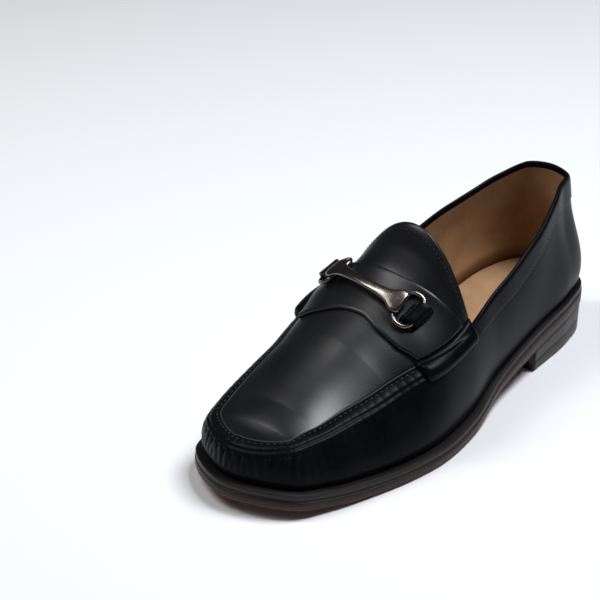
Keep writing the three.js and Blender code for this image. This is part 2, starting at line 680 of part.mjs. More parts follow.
// Plate across the shoe: rungs from the outer side to the inner one, heel to toe
function makePlate(name, corners, material) {
  const loops = [];
  for (let k = 0; k <= HALF; k += 1) {
    const outer = corners(ring[k]);
    const inner = corners(ring[(RING - k) % RING]);
    loops.push([...outer, ...inner.reverse()]);
  }
  return loft(name, loops, material);
}

function makeOutsole() {
  return makePlate('outsole', (sample) => [
    inset(sample, 0, soleTopAt(sample.at)),
    inset(sample, 0, bottomAt(sample.at) + SOLE_BEVEL),
    inset(sample, SOLE_BEVEL, bottomAt(sample.at)),
  ], MATERIALS.sole);
}

function makeInsole() {
  const edge = (sample) => ledgeAt(sample.at) + WALL + GAP;
  return makePlate('insole', (sample) => [
    inset(sample, edge(sample), weltTopAt(sample.at) + INSOLE_RISE),
    inset(sample, edge(sample), soleTopAt(sample.at) + GAP),
  ], MATERIALS.insole);
}

function makeWelt() {
  const loops = ring.map((sample) => {
    const { at } = sample;
    const inner = ledgeAt(at) + WALL;
    const base = soleTopAt(at) + GAP;
    return [
      inset(sample, WELT_STEP, base),
      inset(sample, WELT_STEP, weltTopAt(at) - WELT_BEVEL),
      inset(sample, WELT_STEP + WELT_BEVEL, weltTopAt(at)),
      inset(sample, inner, weltTopAt(at)),
      inset(sample, inner, base),
    ];
  });
  return loft('welt', loops, MATERIALS.edge, true);
}

// Heel block: under the outsole from the back to a straight breast
function makeHeel() {
  const breast = HEEL_CENTRE - HEEL_LENGTH;
  const corners = (sample) => [
    inset(sample, HEEL_SET_IN, bottomAt(sample.at) - GAP),
    inset(sample, HEEL_SET_IN + HEEL_TAPER, 0),
  ];
  const loops = [];
  let k = 0;
  for (; ring[k].y > breast && ring[(RING - k) % RING].y > breast; k += 1) {
    const outer = corners(ring[k]);
    const inner = corners(ring[(RING - k) % RING]);
    loops.push([...outer, ...inner.reverse()]);
  }
  const cross = (from, to) => {
    const share = (from.y - breast) / (from.y - to.y);
    const ends = [corners(from), corners(to)];
    return ends[0].map((point, j) => {
      const corner = between(point, ends[1][j], share);
      corner.y = breast;
      return corner;
    });
  };
  const outer = cross(ring[k - 1], ring[k]);
  const inner = cross(ring[RING - k + 1], ring[RING - k]);
  loops.push([...outer, ...inner.reverse()]);
  return loft('heel', loops, MATERIALS.sole);
}

const shoe = new THREE.Group();
shoe.add(
  makeOutsole(),
  makeHeel(),
  makeWelt(),
  makeInsole(),
  makeUpper(),
  makePlug(),
  makeSaddle(),
  makeRoll('roll_lateral', (k) => HALF - k, (j) => PLUG_COLUMNS - j),
  makeRoll('roll_medial', (k) => HALF + k, (j) => j),
  makeBar(),
  makeRing('bit_ring_lateral', BAR_ENDS.lateral, 1),
  makeRing('bit_ring_medial', BAR_ENDS.medial, -1),
  makeKeeper('keeper_lateral', BAR_ENDS.lateral, 1),
  makeKeeper('keeper_medial', BAR_ENDS.medial, -1),
);

export default shoe;
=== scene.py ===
"""Dresses a left loafer: polished black leather, a moccasin seam, a saddle strap and a metal bit.

Everything is worked out in millimetres from the shoe's own sizes and set in metres at the end.
The origin is on the floor at the middle of the heel's seat, the toe points along -Y and the
outer side of the foot towards +X.
"""

import math

import bmesh
import bpy
import numpy as np
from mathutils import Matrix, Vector


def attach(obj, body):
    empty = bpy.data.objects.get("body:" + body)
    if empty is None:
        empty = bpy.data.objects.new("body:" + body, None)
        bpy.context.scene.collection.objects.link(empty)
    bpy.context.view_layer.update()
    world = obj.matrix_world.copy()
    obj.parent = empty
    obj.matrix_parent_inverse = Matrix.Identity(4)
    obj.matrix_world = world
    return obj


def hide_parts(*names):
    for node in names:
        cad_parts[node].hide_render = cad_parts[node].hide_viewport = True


bl_info = {
    "name": "Loafer",
    "version": (1, 0, 0),
    "blender": (4, 5, 0),
    "location": "View3D > Sidebar > Loafer",
    "description": "Dresses a left loafer with leather, stitching and a metal bit",
    "category": "Add Mesh",
}

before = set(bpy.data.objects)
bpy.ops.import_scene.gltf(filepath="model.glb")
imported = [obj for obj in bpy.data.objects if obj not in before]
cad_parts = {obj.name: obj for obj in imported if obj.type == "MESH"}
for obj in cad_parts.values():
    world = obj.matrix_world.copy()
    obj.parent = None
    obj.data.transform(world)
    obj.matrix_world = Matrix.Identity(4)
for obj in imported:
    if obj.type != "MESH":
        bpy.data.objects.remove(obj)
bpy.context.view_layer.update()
MM = 0.001

# Sizes of the whole shoe
LENGTH = 300            # sole, back of the heel to tip of the toe
BALL_WIDTH = 106        # sole across the ball of the foot
COLLAR_RISE = 70        # welt to topline at the back of the heel
INSTEP_RISE = 100       # welt to the tip of the tongue

# Sole
HEEL_HEIGHT = 19        # floor to outsole at the back of the heel
HEEL_LENGTH = 76        # heel block, back to breast
HEEL_SET_IN = 0.6       # heel block's top edge inside the sole edge
HEEL_TAPER = 0.6        # heel block, set in again at the floor
TOE_SPRING = 6.6        # floor to outsole at the tip of the toe
SOLE_THICKNESS = 5.4    # outsole edge at the forefoot
SHANK_THICKNESS = 8     # outsole edge at the waist and heel
SOLE_BEVEL = 0.8        # lower corner of the outsole edge
WELT_THICKNESS = 3.8
WELT_STEP = 0.4         # welt set in from the outsole edge
WELT_BEVEL = 0.7        # upper corner of the welt
LEDGE_TOE = 5.6         # sole edge to upper, round the forefoot
LEDGE_HEEL = 3.3        # sole edge to upper, round the heel
INSOLE_RISE = 2         # insole above the welt

# Upper
WALL = 2.2              # leather and lining of the wall
PLUG_THICKNESS = 2.2    # leather and lining of the apron and tongue
SEAM_RAISE = 1.6        # moccasin seam above the leather beside it
BAND_RAISE = 0.5        # collar band above the quarters
RIM_ROUND = 0.8         # rounding of the collar's edge
SADDLE_THICKNESS = 1.8
ROLL_HEIGHT = 3.8       # rolled leather above the seam
GAP = 0.3               # between pieces that are sewn or glued together
SADDLE_GAP = 0.5        # the strap spans the apron's facets

# Metal bit and its keepers
BAR_THICKNESS = 2.6
BAR_FLARE = 14.5        # width of the bar's flared ends
BAR_HOVER = 4.3         # bar above the saddle
RING_WIRE = 2.4
RING_LENGTH = 21        # ring along the shoe, between wire centres
RING_REACH = 13         # ring across, from under the bar's end to the keeper
RING_TUCK = 3.2         # ring's inner side, in from the bar's end
KEEPER_WIDTH = 14
KEEPER_THICKNESS = 1.3

PLUG_COLUMNS = 12

# Sole edge: places as shares of the length, half widths as shares of the ball width
SOLE_OUTLINE = [
    dict(at=0.033, lateral=0.233, medial=0.221),
    dict(at=0.115, lateral=0.322, medial=0.312),
    dict(at=0.25, lateral=0.372, medial=0.321),
    dict(at=0.4, lateral=0.436, medial=0.283),
    dict(at=0.515, lateral=0.529, medial=0.312),
    dict(at=0.63, lateral=0.574, medial=0.413),
    dict(at=0.715, lateral=0.554, medial=0.462),
    dict(at=0.8, lateral=0.501, medial=0.457),
    dict(at=0.883, lateral=0.43, medial=0.42),
    dict(at=0.95, lateral=0.33, medial=0.326),
]
TOE_TIP = -0.02         # tip of the toe towards the inner side, share of the ball width

# Outsole from the side: shares of the heel's height, of the toe spring and of the shank's extra
SOLE_PROFILE = [
    dict(at=0, heel=1, spring=0, shank=1),
    dict(at=0.133, heel=0.915, spring=0, shank=1),
    dict(at=0.25, heel=0.715, spring=0, shank=1),
    dict(at=0.367, heel=0.47, spring=0, shank=0.45),
    dict(at=0.483, heel=0.15, spring=0, shank=0.02),
    dict(at=0.583, heel=0.01, spring=0, shank=0),
    dict(at=0.63, heel=0, spring=0, shank=0),
    dict(at=0.73, heel=0, spring=0, shank=0),
    dict(at=0.83, heel=0, spring=0.16, shank=0),
    dict(at=0.92, heel=0, spring=0.6, shank=0),
    dict(at=1, heel=0, spring=1, shank=0),
]

# Wall of the upper. topIn and rowIn are how far the top edge and the lower edge of its strip lie
# inside the sole edge, low and high how far the wall swells out, all shares of the ball width.
# top and row are their heights above the welt, shares of the rise at that place.
# seam and band are how much of the seam's or band's step the strip has.
LATERAL_WALL = [
    dict(at=0, topIn=0.115, top=0.985, rowIn=0.098, row=0.785, low=0.06, high=0.014, seam=0, band=1),
    dict(at=0.1, topIn=0.108, top=1.01, rowIn=0.094, row=0.8, low=0.058, high=0.016, seam=0, band=1),
    dict(at=0.153, topIn=0.082, top=0.965, rowIn=0.073, row=0.78, low=0.042, high=0.02, seam=0, band=1),
    dict(at=0.25, topIn=0.039, top=0.783, rowIn=0.031, row=0.61, low=0.025, high=0.02, seam=0, band=1),
    dict(at=0.337, topIn=0.037, top=0.632, rowIn=0.025, row=0.475, low=0.022, high=0.022, seam=0, band=1),
    dict(at=0.427, topIn=0.06, top=0.537, rowIn=0.04, row=0.43, low=0.024, high=0.026, seam=0, band=1),
    dict(at=0.487, topIn=0.083, top=0.501, rowIn=0.054, row=0.425, low=0.026, high=0.03, seam=0, band=0),
    dict(at=0.55, topIn=0.11, top=0.471, rowIn=0.064, row=0.412, low=0.028, high=0.034, seam=0, band=0),
    dict(at=0.6, topIn=0.145, top=0.453, rowIn=0.076, row=0.395, low=0.03, high=0.038, seam=0.3, band=0),
    dict(at=0.65, topIn=0.195, top=0.428, rowIn=0.106, row=0.37, low=0.033, high=0.042, seam=1, band=0),
    dict(at=0.717, topIn=0.222, top=0.38, rowIn=0.134, row=0.316, low=0.033, high=0.038, seam=1, band=0),
    dict(at=0.8, topIn=0.226, top=0.318, rowIn=0.13, row=0.266, low=0.033, high=0.033, seam=1, band=0),
    dict(at=0.883, topIn=0.199, top=0.262, rowIn=0.11, row=0.218, low=0.028, high=0.028, seam=1, band=0),
    dict(at=0.95, topIn=0.161, top=0.228, rowIn=0.082, row=0.185, low=0.024, high=0.024, seam=1, band=0),
    dict(at=1, topIn=0.132, top=0.2, rowIn=0.06, row=0.145, low=0.022, high=0.02, seam=1, band=0),
]
MEDIAL_WALL = [
    dict(at=0, topIn=0.115, top=0.985, rowIn=0.098, row=0.785, low=0.06, high=0.014, seam=0, band=1),
    dict(at=0.1, topIn=0.09, top=0.924, rowIn=0.07, row=0.735, low=0.05, high=0.018, seam=0, band=1),
    dict(at=0.207, topIn=0.044, top=0.83, rowIn=0.024, row=0.64, low=0.025, high=0.02, seam=0, band=1),
    dict(at=0.347, topIn=0, top=0.68, rowIn=-0.012, row=0.535, low=0.018, high=0.02, seam=0, band=1),
    dict(at=0.433, topIn=-0.036, top=0.617, rowIn=-0.045, row=0.48, low=0.016, high=0.02, seam=0, band=1),
    dict(at=0.487, topIn=-0.04, top=0.59, rowIn=-0.06, row=0.475, low=0.016, high=0.022, seam=0, band=0),
    dict(at=0.533, topIn=-0.04, top=0.57, rowIn=-0.072, row=0.485, low=0.018, high=0.028, seam=0, band=0),
    dict(at=0.583, topIn=-0.016, top=0.545, rowIn=-0.06, row=0.47, low=0.022, high=0.033, seam=0.2, band=0),
    dict(at=0.643, topIn=0.072, top=0.49, rowIn=0.012, row=0.42, low=0.026, high=0.038, seam=1, band=0),
    dict(at=0.733, topIn=0.151, top=0.413, rowIn=0.078, row=0.34, low=0.03, high=0.036, seam=1, band=0),
    dict(at=0.847, topIn=0.149, top=0.297, rowIn=0.072, row=0.235, low=0.03, high=0.03, seam=1, band=0),
    dict(at=0.92, topIn=0.13, top=0.22, rowIn=0.056, row=0.165, low=0.026, high=0.026, seam=1, band=0),
    dict(at=1, topIn=0.132, top=0.2, rowIn=0.06, row=0.145, low=0.022, high=0.02, seam=1, band=0),
]

# Apron and tongue. crown is the height of their middle above the line between the seams, a share
# of the instep's rise. round turns the arch from a square one to a peaked one. lean is how far the
# middle lies ahead of the seams, a share of the length, and skew moves the arch outwards.
PLUG_ARCH = [
    dict(at=0.49, crown=0.455, round=0.88, lean=0.008, skew=0.07),
    dict(at=0.52, crown=0.35, round=0.84, lean=0.007, skew=0.05),
    dict(at=0.555, crown=0.255, round=0.8, lean=0.005, skew=0.03),
    dict(at=0.6, crown=0.2, round=0.82, lean=0.003, skew=0),
    dict(at=0.65, crown=0.168, round=0.88, lean=0, skew=0),
    dict(at=0.717, crown=0.135, round=0.95, lean=0, skew=0),
    dict(at=0.8, crown=0.1, round=1, lean=0, skew=0),
    dict(at=0.883, crown=0.062, round=1, lean=0, skew=0),
    dict(at=0.95, crown=0.018, round=1, lean=0, skew=0),
    dict(at=0.97, crown=0, round=1, lean=0, skew=0),
]

# Saddle: where its rear and front edges run, across from the inner side (-1) to the outer (1)
SADDLE_EDGES = [
    dict(at=-1, rear=0.525, front=0.665),
    dict(at=-0.6, rear=0.546, front=0.66),
    dict(at=-0.2, rear=0.551, front=0.648),
    dict(at=0.1, rear=0.55, front=0.645),
    dict(at=0.4, rear=0.543, front=0.652),
    dict(at=0.7, rear=0.531, front=0.649),
    dict(at=1, rear=0.515, front=0.628),
]
THROAT = 0.49           # share of the length where the tongue's edge stands
ROLL_SPAN = [0.485, 0.64]  # rolled leather, rear and front ends
BIT_AT = 0.597          # place of the bit's middle along the foot
BIT_SWEEP = 0.042       # and how far its ends sweep back
BAR_ENDS = dict(lateral=7.75, medial=3.1)  # ends of the bar, in apron columns

# Half of the bar, from its middle to its end: half width as a share of the flare
BAR_SHAPE = [
    dict(at=0, half=0.18),
    dict(at=0.35, half=0.2),
    dict(at=0.55, half=0.24),
    dict(at=0.68, half=0.31),
    dict(at=0.78, half=0.43),
    dict(at=0.87, half=0.5),
    dict(at=1, half=0.47),
]
# Keeper over the ring: distance out from the wire, and height as a share of what clears it
KEEPER_FOLD = [
    dict(at=-7, rise=0),
    dict(at=-4.9, rise=0),
    dict(at=-4.2, rise=0.5),
    dict(at=-3.1, rise=1.08),
    dict(at=0, rise=1.15),
    dict(at=2.1, rise=1.05),
    dict(at=3.1, rise=0.5),
    dict(at=4, rise=0),
]

ROLL_COLUMNS = 1        # apron columns that each roll covers
SADDLE_END = ROLL_COLUMNS + 0.2
HEEL_CENTRE = HEEL_LENGTH / 2

# Finer forms of the dressed shoe
EDGE_ROUND = 0.35       # rounding of the outsole's upper corner
TREAD_THICKNESS = 1.5   # reddish layer at the bottom of the outsole
TREAD_GROOVE = 0.3      # line above that layer
TREAD_SET_IN = 0.1
PUCKER_REACH = 3.4      # how far the gathers run down the wall
FOLD_DROP = 8           # middle of the soft folds, below the seam
FOLD_REACH = 8.0
SHADE_CORD_RADIUS = 0.6       # near-black cord in the groove beside the apron, painted shade of the groove
SHADE_CORD_SINK = 0.35
SEAM_FROM = 0.645       # share of the length where the seam's stitches begin
TONGUE_ROW = 0.011      # tongue's stitches, behind its edge, share of the length

# Sampling of the dressed surfaces
EDGE_FINE = 200         # points on each stretch of the sole edge's curve
REAR_FINE = 110         # ring samples from the heel to the throat on each side
FRONT_FINE = 208        # and from the throat to the tip of the toe
HALF = REAR_FINE + FRONT_FINE
RING = 2 * HALF
WALL_FINE = 30          # rows from the welt to the strip
STRIP_FINE = 14         # rows over the strip
TOP = WALL_FINE + STRIP_FINE
APRON_FINE = 72         # columns across the apron

# Stitches of the seam: row of the wall, how deep they sit, distance in gathers, and length
SEAM_STITCHES = (
    dict(name="hole_stitches", row=WALL_FINE - 1, drop=0.42, spacing=1, length=3.2),
    dict(name="ridge_stitches", row=TOP - 2, drop=0.05, spacing=0.62, length=2.5),
)

# Height of a roll across its width, from the wall inwards: place and height as shares
ROLL_PROFILE = [(0, 0.3), (0.04, 0.62), (0.12, 0.86), (0.24, 0.98), (0.36, 1.0), (0.5, 0.97),
                (0.64, 0.9), (0.78, 0.78), (0.9, 0.6), (0.97, 0.42), (1, 0.25)]

# Camera, in metres and degrees
CAMERA_PLACE = (0.60515, -0.8851, 0.57996)
CAMERA_AZIMUTH = 41.5
CAMERA_ELEVATION = 27.8
CAMERA_LENS = 119.2

# Lights, in metres and watts
COOL_WHITE = (0.93, 0.96, 1.0)
LIGHTS = (
    dict(name="overhead", place=(0.36, 0.28, 1.4), target=(0, -0.15, 0.04), size=(0.55, 0.6),
         power=22, colour=COOL_WHITE),
    dict(name="strap", place=(-0.5, -0.5, 1.1), target=(0, -0.12, 0.07), size=(0.12, 0.75), power=4),
    dict(name="fill", place=(-0.5, -0.9, 1.5), target=(0, -0.1, 0.04), size=(0.8, 0.8), power=5),
)


def read(table, column, at):
    """Column of a table at some places, on a smooth curve that does not overshoot its rows."""
    x = np.array([row["at"] for row in table])
    y = np.array([row[column] for row in table])
    slope = np.diff(y) / np.diff(x)
    tangent = np.zeros(len(x))
    product = slope[:-1] * slope[1:]
    total = slope[:-1] + slope[1:]
    tangent[1:-1] = np.where(product > 0, 2 * product / np.where(total == 0, 1, total), 0)
    place = np.clip(np.asarray(at, float), x[0], x[-1])
    k = np.clip(np.searchsorted(x, place, side="right") - 1, 0, len(x) - 2)
    span = x[k + 1] - x[k]
    u = (place - x[k]) / span
    v = 1 - u
    return (y[k] * v * v * (1 + 2 * u) + y[k + 1] * u * u * (1 + 2 * v)
            + span * u * v * (v * tangent[k] - u * tangent[k + 1]))


def smoothstep(value, low, high):
    """Share from 0 at low to 1 at high, smooth at both ends."""
    share = np.clip((np.asarray(value, float) - low) / (high - low), 0, 1)
    return share * share * (3 - 2 * share)


def bottom_at(at):
    """Height of the outsole's underside."""
    return HEEL_HEIGHT * read(SOLE_PROFILE, "heel", at) + TOE_SPRING * read(SOLE_PROFILE, "spring", at)


def sole_top_at(at):
    """Height of the outsole's upper side."""
    return (bottom_at(at) + SOLE_THICKNESS
            + (SHANK_THICKNESS - SOLE_THICKNESS) * read(SOLE_PROFILE, "shank", at))


def welt_top_at(at):
    """Height of the welt's upper side."""
    return sole_top_at(at) + GAP + WELT_THICKNESS


def ledge_at(at):
    """Distance from the sole edge to the upper."""
    return LEDGE_HEEL + (LEDGE_TOE - LEDGE_HEEL) * smoothstep(at, 0.3, 0.6)


def rise_at(at):
    """Rise above the welt that the wall's heights are shares of."""
    return COLLAR_RISE + (INSTEP_RISE - COLLAR_RISE) * smoothstep(at, 0.15, 0.5)


def sole_edge():
    """Fine points and tangents of the closed sole edge: heel, outer side, toe, inner side."""
    def point(share, at):
        return share * BALL_WIDTH, HEEL_CENTRE - at * LENGTH
    knots = [point(0, 0)] + [point(row["lateral"], row["at"]) for row in SOLE_OUTLINE]
    knots += [point(TOE_TIP, 1)] + [point(-row["medial"], row["at"]) for row in SOLE_OUTLINE][::-1]
    knots = np.array(knots)
    count = len(knots)
    share = np.arange(EDGE_FINE)[:, None] / EDGE_FINE
    places, tangents = [], []
    for i in range(count):
        a, b, c, d = (knots[(i + step) % count] for step in (-1, 0, 1, 2))
        before, here, after = (np.linalg.norm(q - p) ** 0.5 for p, q in ((a, b), (b, c), (c, d)))
        start = ((b - a) / before - (c - a) / (before + here) + (c - b) / here) * here
        end = ((c - b) / here - (d - b) / (here + after) + (d - c) / after) * here
        second = -3 * b + 3 * c - 2 * start - end
        third = 2 * b - 2 * c + start + end
        places.append(b + start * share + second * share ** 2 + third * share ** 3)
        tangents.append(start + 2 * second * share + 3 * third * share ** 2)
    return np.vstack(places), np.vstack(tangents), EDGE_FINE * (len(SOLE_OUTLINE) + 1)


class Ring:
    """Samples round the sole edge, even on each stretch between heel, throat and toe."""

    def __init__(self):
        places, tangents, tip = sole_edge()
        count = len(places)
        at = (HEEL_CENTRE - places[:, 1]) / LENGTH
        outer_throat = int(np.argmax(at[:tip] >= THROAT))
        inner_throat = count - 1 - int(np.argmax(at[tip:][::-1] >= THROAT))
        runs = [(0, outer_throat, REAR_FINE), (outer_throat, tip, FRONT_FINE),
                (tip, inner_throat, FRONT_FINE), (inner_throat, count, REAR_FINE)]
        closed = np.vstack([places, places[:1]])
        ways = np.vstack([tangents, tangents[:1]])
        spots, along = [], []
        for start, end, samples in runs:
            piece = closed[start:end + 1]
            length = np.concatenate([[0], np.cumsum(np.linalg.norm(np.diff(piece, axis=0), axis=1))])
            goal = length[-1] * np.arange(samples) / samples
            spots.append(np.column_stack([np.interp(goal, length, piece[:, k]) for k in (0, 1)]))
            way = ways[start:end + 1]
            along.append(np.column_stack([np.interp(goal, length, way[:, k]) for k in (0, 1)]))
        self.place = np.vstack(spots)
        way = np.vstack(along)
        way /= np.linalg.norm(way, axis=1)[:, None]
        self.normal = np.column_stack([-way[:, 1], way[:, 0]])
        self.at = (HEEL_CENTRE - self.place[:, 1]) / LENGTH
        self.outer = np.arange(RING) <= HALF

    def wall(self, column):
        """Column of the wall's tables, the outer or the inner side's."""
        lateral, medial = (read(table, column, self.at) for table in (LATERAL_WALL, MEDIAL_WALL))
        return np.where(self.outer, lateral, medial)

    def inset(self, distance, height):
        """Points inside the sole edge by a distance, at a height."""
        distance = np.broadcast_to(np.asarray(distance, float), (RING,))
        spot = self.place - self.normal * distance[:, None]
        return np.column_stack([spot, np.broadcast_to(height, (RING,))])


ring = Ring()


def unit(vectors):
    """The vectors with length one."""
    return vectors / np.maximum(np.linalg.norm(vectors, axis=-1, keepdims=True), 1e-9)


def grid_normals(grid, closed):
    """Unit normals of a grid of points whose first direction may go round."""
    if closed:
        along = np.roll(grid, -1, axis=0) - np.roll(grid, 1, axis=0)
    else:
        along = np.gradient(grid, axis=0)
    return unit(np.cross(np.gradient(grid, axis=1), along))


def wall_grid():
    """Outer surface of the wall without its raised strip: welt to row, then row to top."""
    foot = welt_top_at(ring.at) + GAP
    rise = rise_at(ring.at)
    row = foot + rise * ring.wall("row")
    top = foot + rise * ring.wall("top")
    third = (row - foot) / 3
    row_in = BALL_WIDTH * ring.wall("rowIn")
    top_in = BALL_WIDTH * ring.wall("topIn")
    ledge = ledge_at(ring.at)
    reach = [ledge, ledge - BALL_WIDTH * ring.wall("low"), row_in - BALL_WIDTH * ring.wall("high"), row_in]
    height = [foot, foot + third, row - third, row]
    lines = []
    for share in np.linspace(0, 1, WALL_FINE + 1):
        weights = [(1 - share) ** 3, 3 * share * (1 - share) ** 2, 3 * share ** 2 * (1 - share), share ** 3]
        lines.append(ring.inset(sum(w * r for w, r in zip(weights, reach)),
                                sum(w * h for w, h in zip(weights, height))))
    for share in np.linspace(0, 1, STRIP_FINE + 1)[1:]:
        lines.append(ring.inset(row_in + (top_in - row_in) * share, row + (top - row) * share))
    return np.stack(lines, axis=1)


wall_base = wall_grid()
wall_normals = grid_normals(wall_base, True)


def apron_grid():
    """Apron and tongue: rungs from the toe to the throat, columns from the inner seam out."""
    inner = (HALF + np.arange(FRONT_FINE + 1)) % RING
    outer = HALF - np.arange(FRONT_FINE + 1)
    rung_at = (ring.at[inner] + ring.at[outer]) / 2
    up = unit(wall_base[:, TOP] - wall_base[:, TOP - 1])
    edge = wall_base[:, TOP] + GAP * up
    across = np.sin(math.pi * (np.arange(APRON_FINE + 1) / APRON_FINE - 0.5))[None, :]
    share = ((1 + across) / 2)[..., None]
    grid = edge[inner][:, None] * (1 - share) + edge[outer][:, None] * share
    names = ("crown", "round", "lean", "skew")
    crown, arch, lean, skew = (read(PLUG_ARCH, name, rung_at)[:, None] for name in names)
    off = across - skew * (1 - across * across)
    grid[..., 2] += INSTEP_RISE * crown * np.maximum(1 - off * off, 0) ** arch
    grid[..., 1] -= LENGTH * lean * np.maximum(1 - across * across, 0) ** 0.4
    return rung_at, grid


def relax(grid, rungs, fade, rounds):
    """Evens out the surface of the first rungs, fading out over the last of them, edges held."""
    level = grid[..., 2]
    amount = np.clip((rungs - np.arange(1, rungs)) / fade, 0, 1)[:, None]
    for _ in range(rounds):
        middle = level[1:rungs, 1:-1]
        beside = (level[:rungs - 1, 1:-1] + level[2:rungs + 1, 1:-1]
                  + level[1:rungs, :-2] + level[1:rungs, 2:])
        level[1:rungs, 1:-1] = middle + amount * (0.125 * beside - 0.5 * middle)


rung_at, apron = apron_grid()
relax(apron, rungs=200, fade=120, rounds=40)
apron_normals = grid_normals(apron, False)
apron_normals *= np.where(apron_normals[..., 2:] < 0, -1, 1)
apron_normals[0] = wall_normals[HALF, TOP]


def on_apron(at, column, lift=0.0):
    """Points above the apron at places along the foot and columns across it, and their normals."""
    at, column = np.broadcast_arrays(np.asarray(at, float), np.asarray(column, float))
    rung = np.interp(-at, -rung_at, np.arange(FRONT_FINE + 1))
    place = np.clip(column, 0, PLUG_COLUMNS) * APRON_FINE / PLUG_COLUMNS
    k = np.clip(rung.astype(int), 0, FRONT_FINE - 1)
    j = np.clip(place.astype(int), 0, APRON_FINE - 1)
    u, v = (rung - k)[..., None], (place - j)[..., None]

    def mix(grid):
        return ((grid[k, j] * (1 - v) + grid[k, j + 1] * v) * (1 - u)
                + (grid[k + 1, j] * (1 - v) + grid[k + 1, j + 1] * v) * u)
    normal = unit(mix(apron_normals))
    return mix(apron) + normal * np.asarray(lift, float)[..., None], normal


def across_of(column):
    """Place across the apron, from -1 to 1, of an apron column."""
    return np.sin(math.pi * (np.asarray(column, float) / PLUG_COLUMNS - 0.5))


def saddle_top(at, column, lift=0.0):
    """Points above the saddle's upper side, and their normals."""
    return on_apron(at, column, SADDLE_GAP + SADDLE_THICKNESS + np.asarray(lift, float))


def bit_at(column):
    """Place along the foot of the bit's swept line."""
    return BIT_AT - BIT_SWEEP * across_of(column) ** 2


def piece(name, grid, materials, node=None, slot="leather", closed=False, around=False, rows=None):
    """Mesh of a grid of stations and section points. closed: each section goes round.
    around: the stations go round too. rows: material index of each section stretch."""
    if closed:
        grid = np.concatenate([grid, grid[:, :1]], axis=1)
    if around:
        grid = np.concatenate([grid, grid[:1]], axis=0)
    stations, points = grid.shape[:2]
    bm = bmesh.new()
    bmesh.ops.create_grid(bm, x_segments=points - 1, y_segments=stations - 1, size=1, calc_uvs=False)
    bm.verts.ensure_lookup_table()
    flat = grid.reshape(-1, 3) * MM
    for vert, place in zip(bm.verts, flat):
        vert.co = place
    layer = bm.loops.layers.uv.new("UVMap")
    middle = grid[:, points // 2]
    along = np.concatenate([[0], np.cumsum(np.linalg.norm(np.diff(middle, axis=0), axis=1))]) * MM
    line = grid[stations // 2]
    wide = np.concatenate([[0], np.cumsum(np.linalg.norm(np.diff(line, axis=0), axis=1))]) * MM
    for face in bm.faces:
        for loop in face.loops:
            i, j = divmod(loop.vert.index, points)
            loop[layer].uv = (along[i], wide[j])
        if rows is not None:
            face.material_index = rows[min(vert.index % points for vert in face.verts)]
        face.smooth = True
    bmesh.ops.remove_doubles(bm, verts=bm.verts, dist=1e-7)
    if closed and not around:
        edges = [edge for edge in bm.edges if edge.is_boundary]
        bmesh.ops.holes_fill(bm, edges=edges, sides=0)
    bmesh.ops.recalc_face_normals(bm, faces=bm.faces)
    finish_piece(name, bm, materials, node)


def finish_piece(name, bm, materials, node):
    """Turns a mesh into an object that rides the shoe and may replace one of its solids."""
    mesh = bpy.data.meshes.new(name)
    bm.to_mesh(mesh)
    bm.free()
    obj = bpy.data.objects.new(name, mesh)
    bpy.context.scene.collection.objects.link(obj)
    for material in materials:
        mesh.materials.append(material)
    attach(obj, "root")
    if node:
        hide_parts(node)


def stitches(name, paths, material, pitch=2.7, length=1.9, width=0.55):
    """Rows of small rounded stitches along paths of points and normals."""
    bm = bmesh.new()
    for line, normal in paths:
        gone = np.concatenate([[0], np.cumsum(np.linalg.norm(np.diff(line, axis=0), axis=1))])
        for goal in np.arange(pitch / 2, gone[-1], pitch):
            centre = np.array([np.interp(goal, gone, line[:, k]) for k in range(3)])
            ahead = np.array([np.interp(goal + 0.5, gone, line[:, k]) for k in range(3)])
            behind = np.array([np.interp(goal - 0.5, gone, line[:, k]) for k in range(3)])
            up = Vector([np.interp(goal, gone, normal[:, k]) for k in range(3)]).normalized()
            way = Vector(ahead - behind).normalized()
            side = up.cross(way).normalized()
            made = bmesh.ops.create_icosphere(bm, subdivisions=1, radius=1)
            for vert in made["verts"]:
                x, y, z = vert.co
                spot = Vector(centre) + way * x * length / 2 + side * y * width / 2 + up * z * width / 2
                vert.co = spot * MM
    for face in bm.faces:
        face.smooth = True
    finish_piece(name, bm, [material], None)


def group_input(tree, name, kind, default):
    """Adds one input with its default to a node group."""
    socket = tree.interface.new_socket(name, in_out="INPUT", socket_type=kind)
    socket.default_value = default


def soft_grain():
    """Shared leather relief: fine grain and slow waves, as one height."""
    tree = bpy.data.node_groups.new("leather_relief", "ShaderNodeTree")
    group_input(tree, "Grain size", "NodeSocketFloat", 900.0)
    group_input(tree, "Wave size", "NodeSocketFloat", 40.0)
    tree.interface.new_socket("Height", in_out="OUTPUT", socket_type="NodeSocketFloat")
    tree.interface.new_socket("Mask", in_out="OUTPUT", socket_type="NodeSocketFloat")
    nodes, links = tree.nodes, tree.links
    start, end = nodes.new("NodeGroupInput"), nodes.new("NodeGroupOutput")
    place = nodes.new("ShaderNodeTexCoord")
    grain = nodes.new("ShaderNodeTexVoronoi")
    wave = nodes.new("ShaderNodeTexNoise")
    wave.inputs["Detail"].default_value = 4.0
    for texture, size in ((grain, "Grain size"), (wave, "Wave size")):
        links.new(place.outputs["Object"], texture.inputs["Vector"])
        links.new(start.outputs[size], texture.inputs["Scale"])
    mix = nodes.new("ShaderNodeMath")
    mix.operation = "MULTIPLY_ADD"
    mix.inputs[1].default_value = 0.25
    links.new(grain.outputs["Distance"], mix.inputs[0])
    links.new(wave.outputs["Fac"], mix.inputs[2])
    links.new(mix.outputs[0], end.inputs["Height"])
    links.new(wave.outputs["Fac"], end.inputs["Mask"])
    return tree


def new_material(name):
    """Material with nodes, its tree and its main shader."""
    material = bpy.data.materials.new(name)
    material.use_nodes = True
    tree = material.node_tree
    return material, tree, tree.nodes["Principled BSDF"]


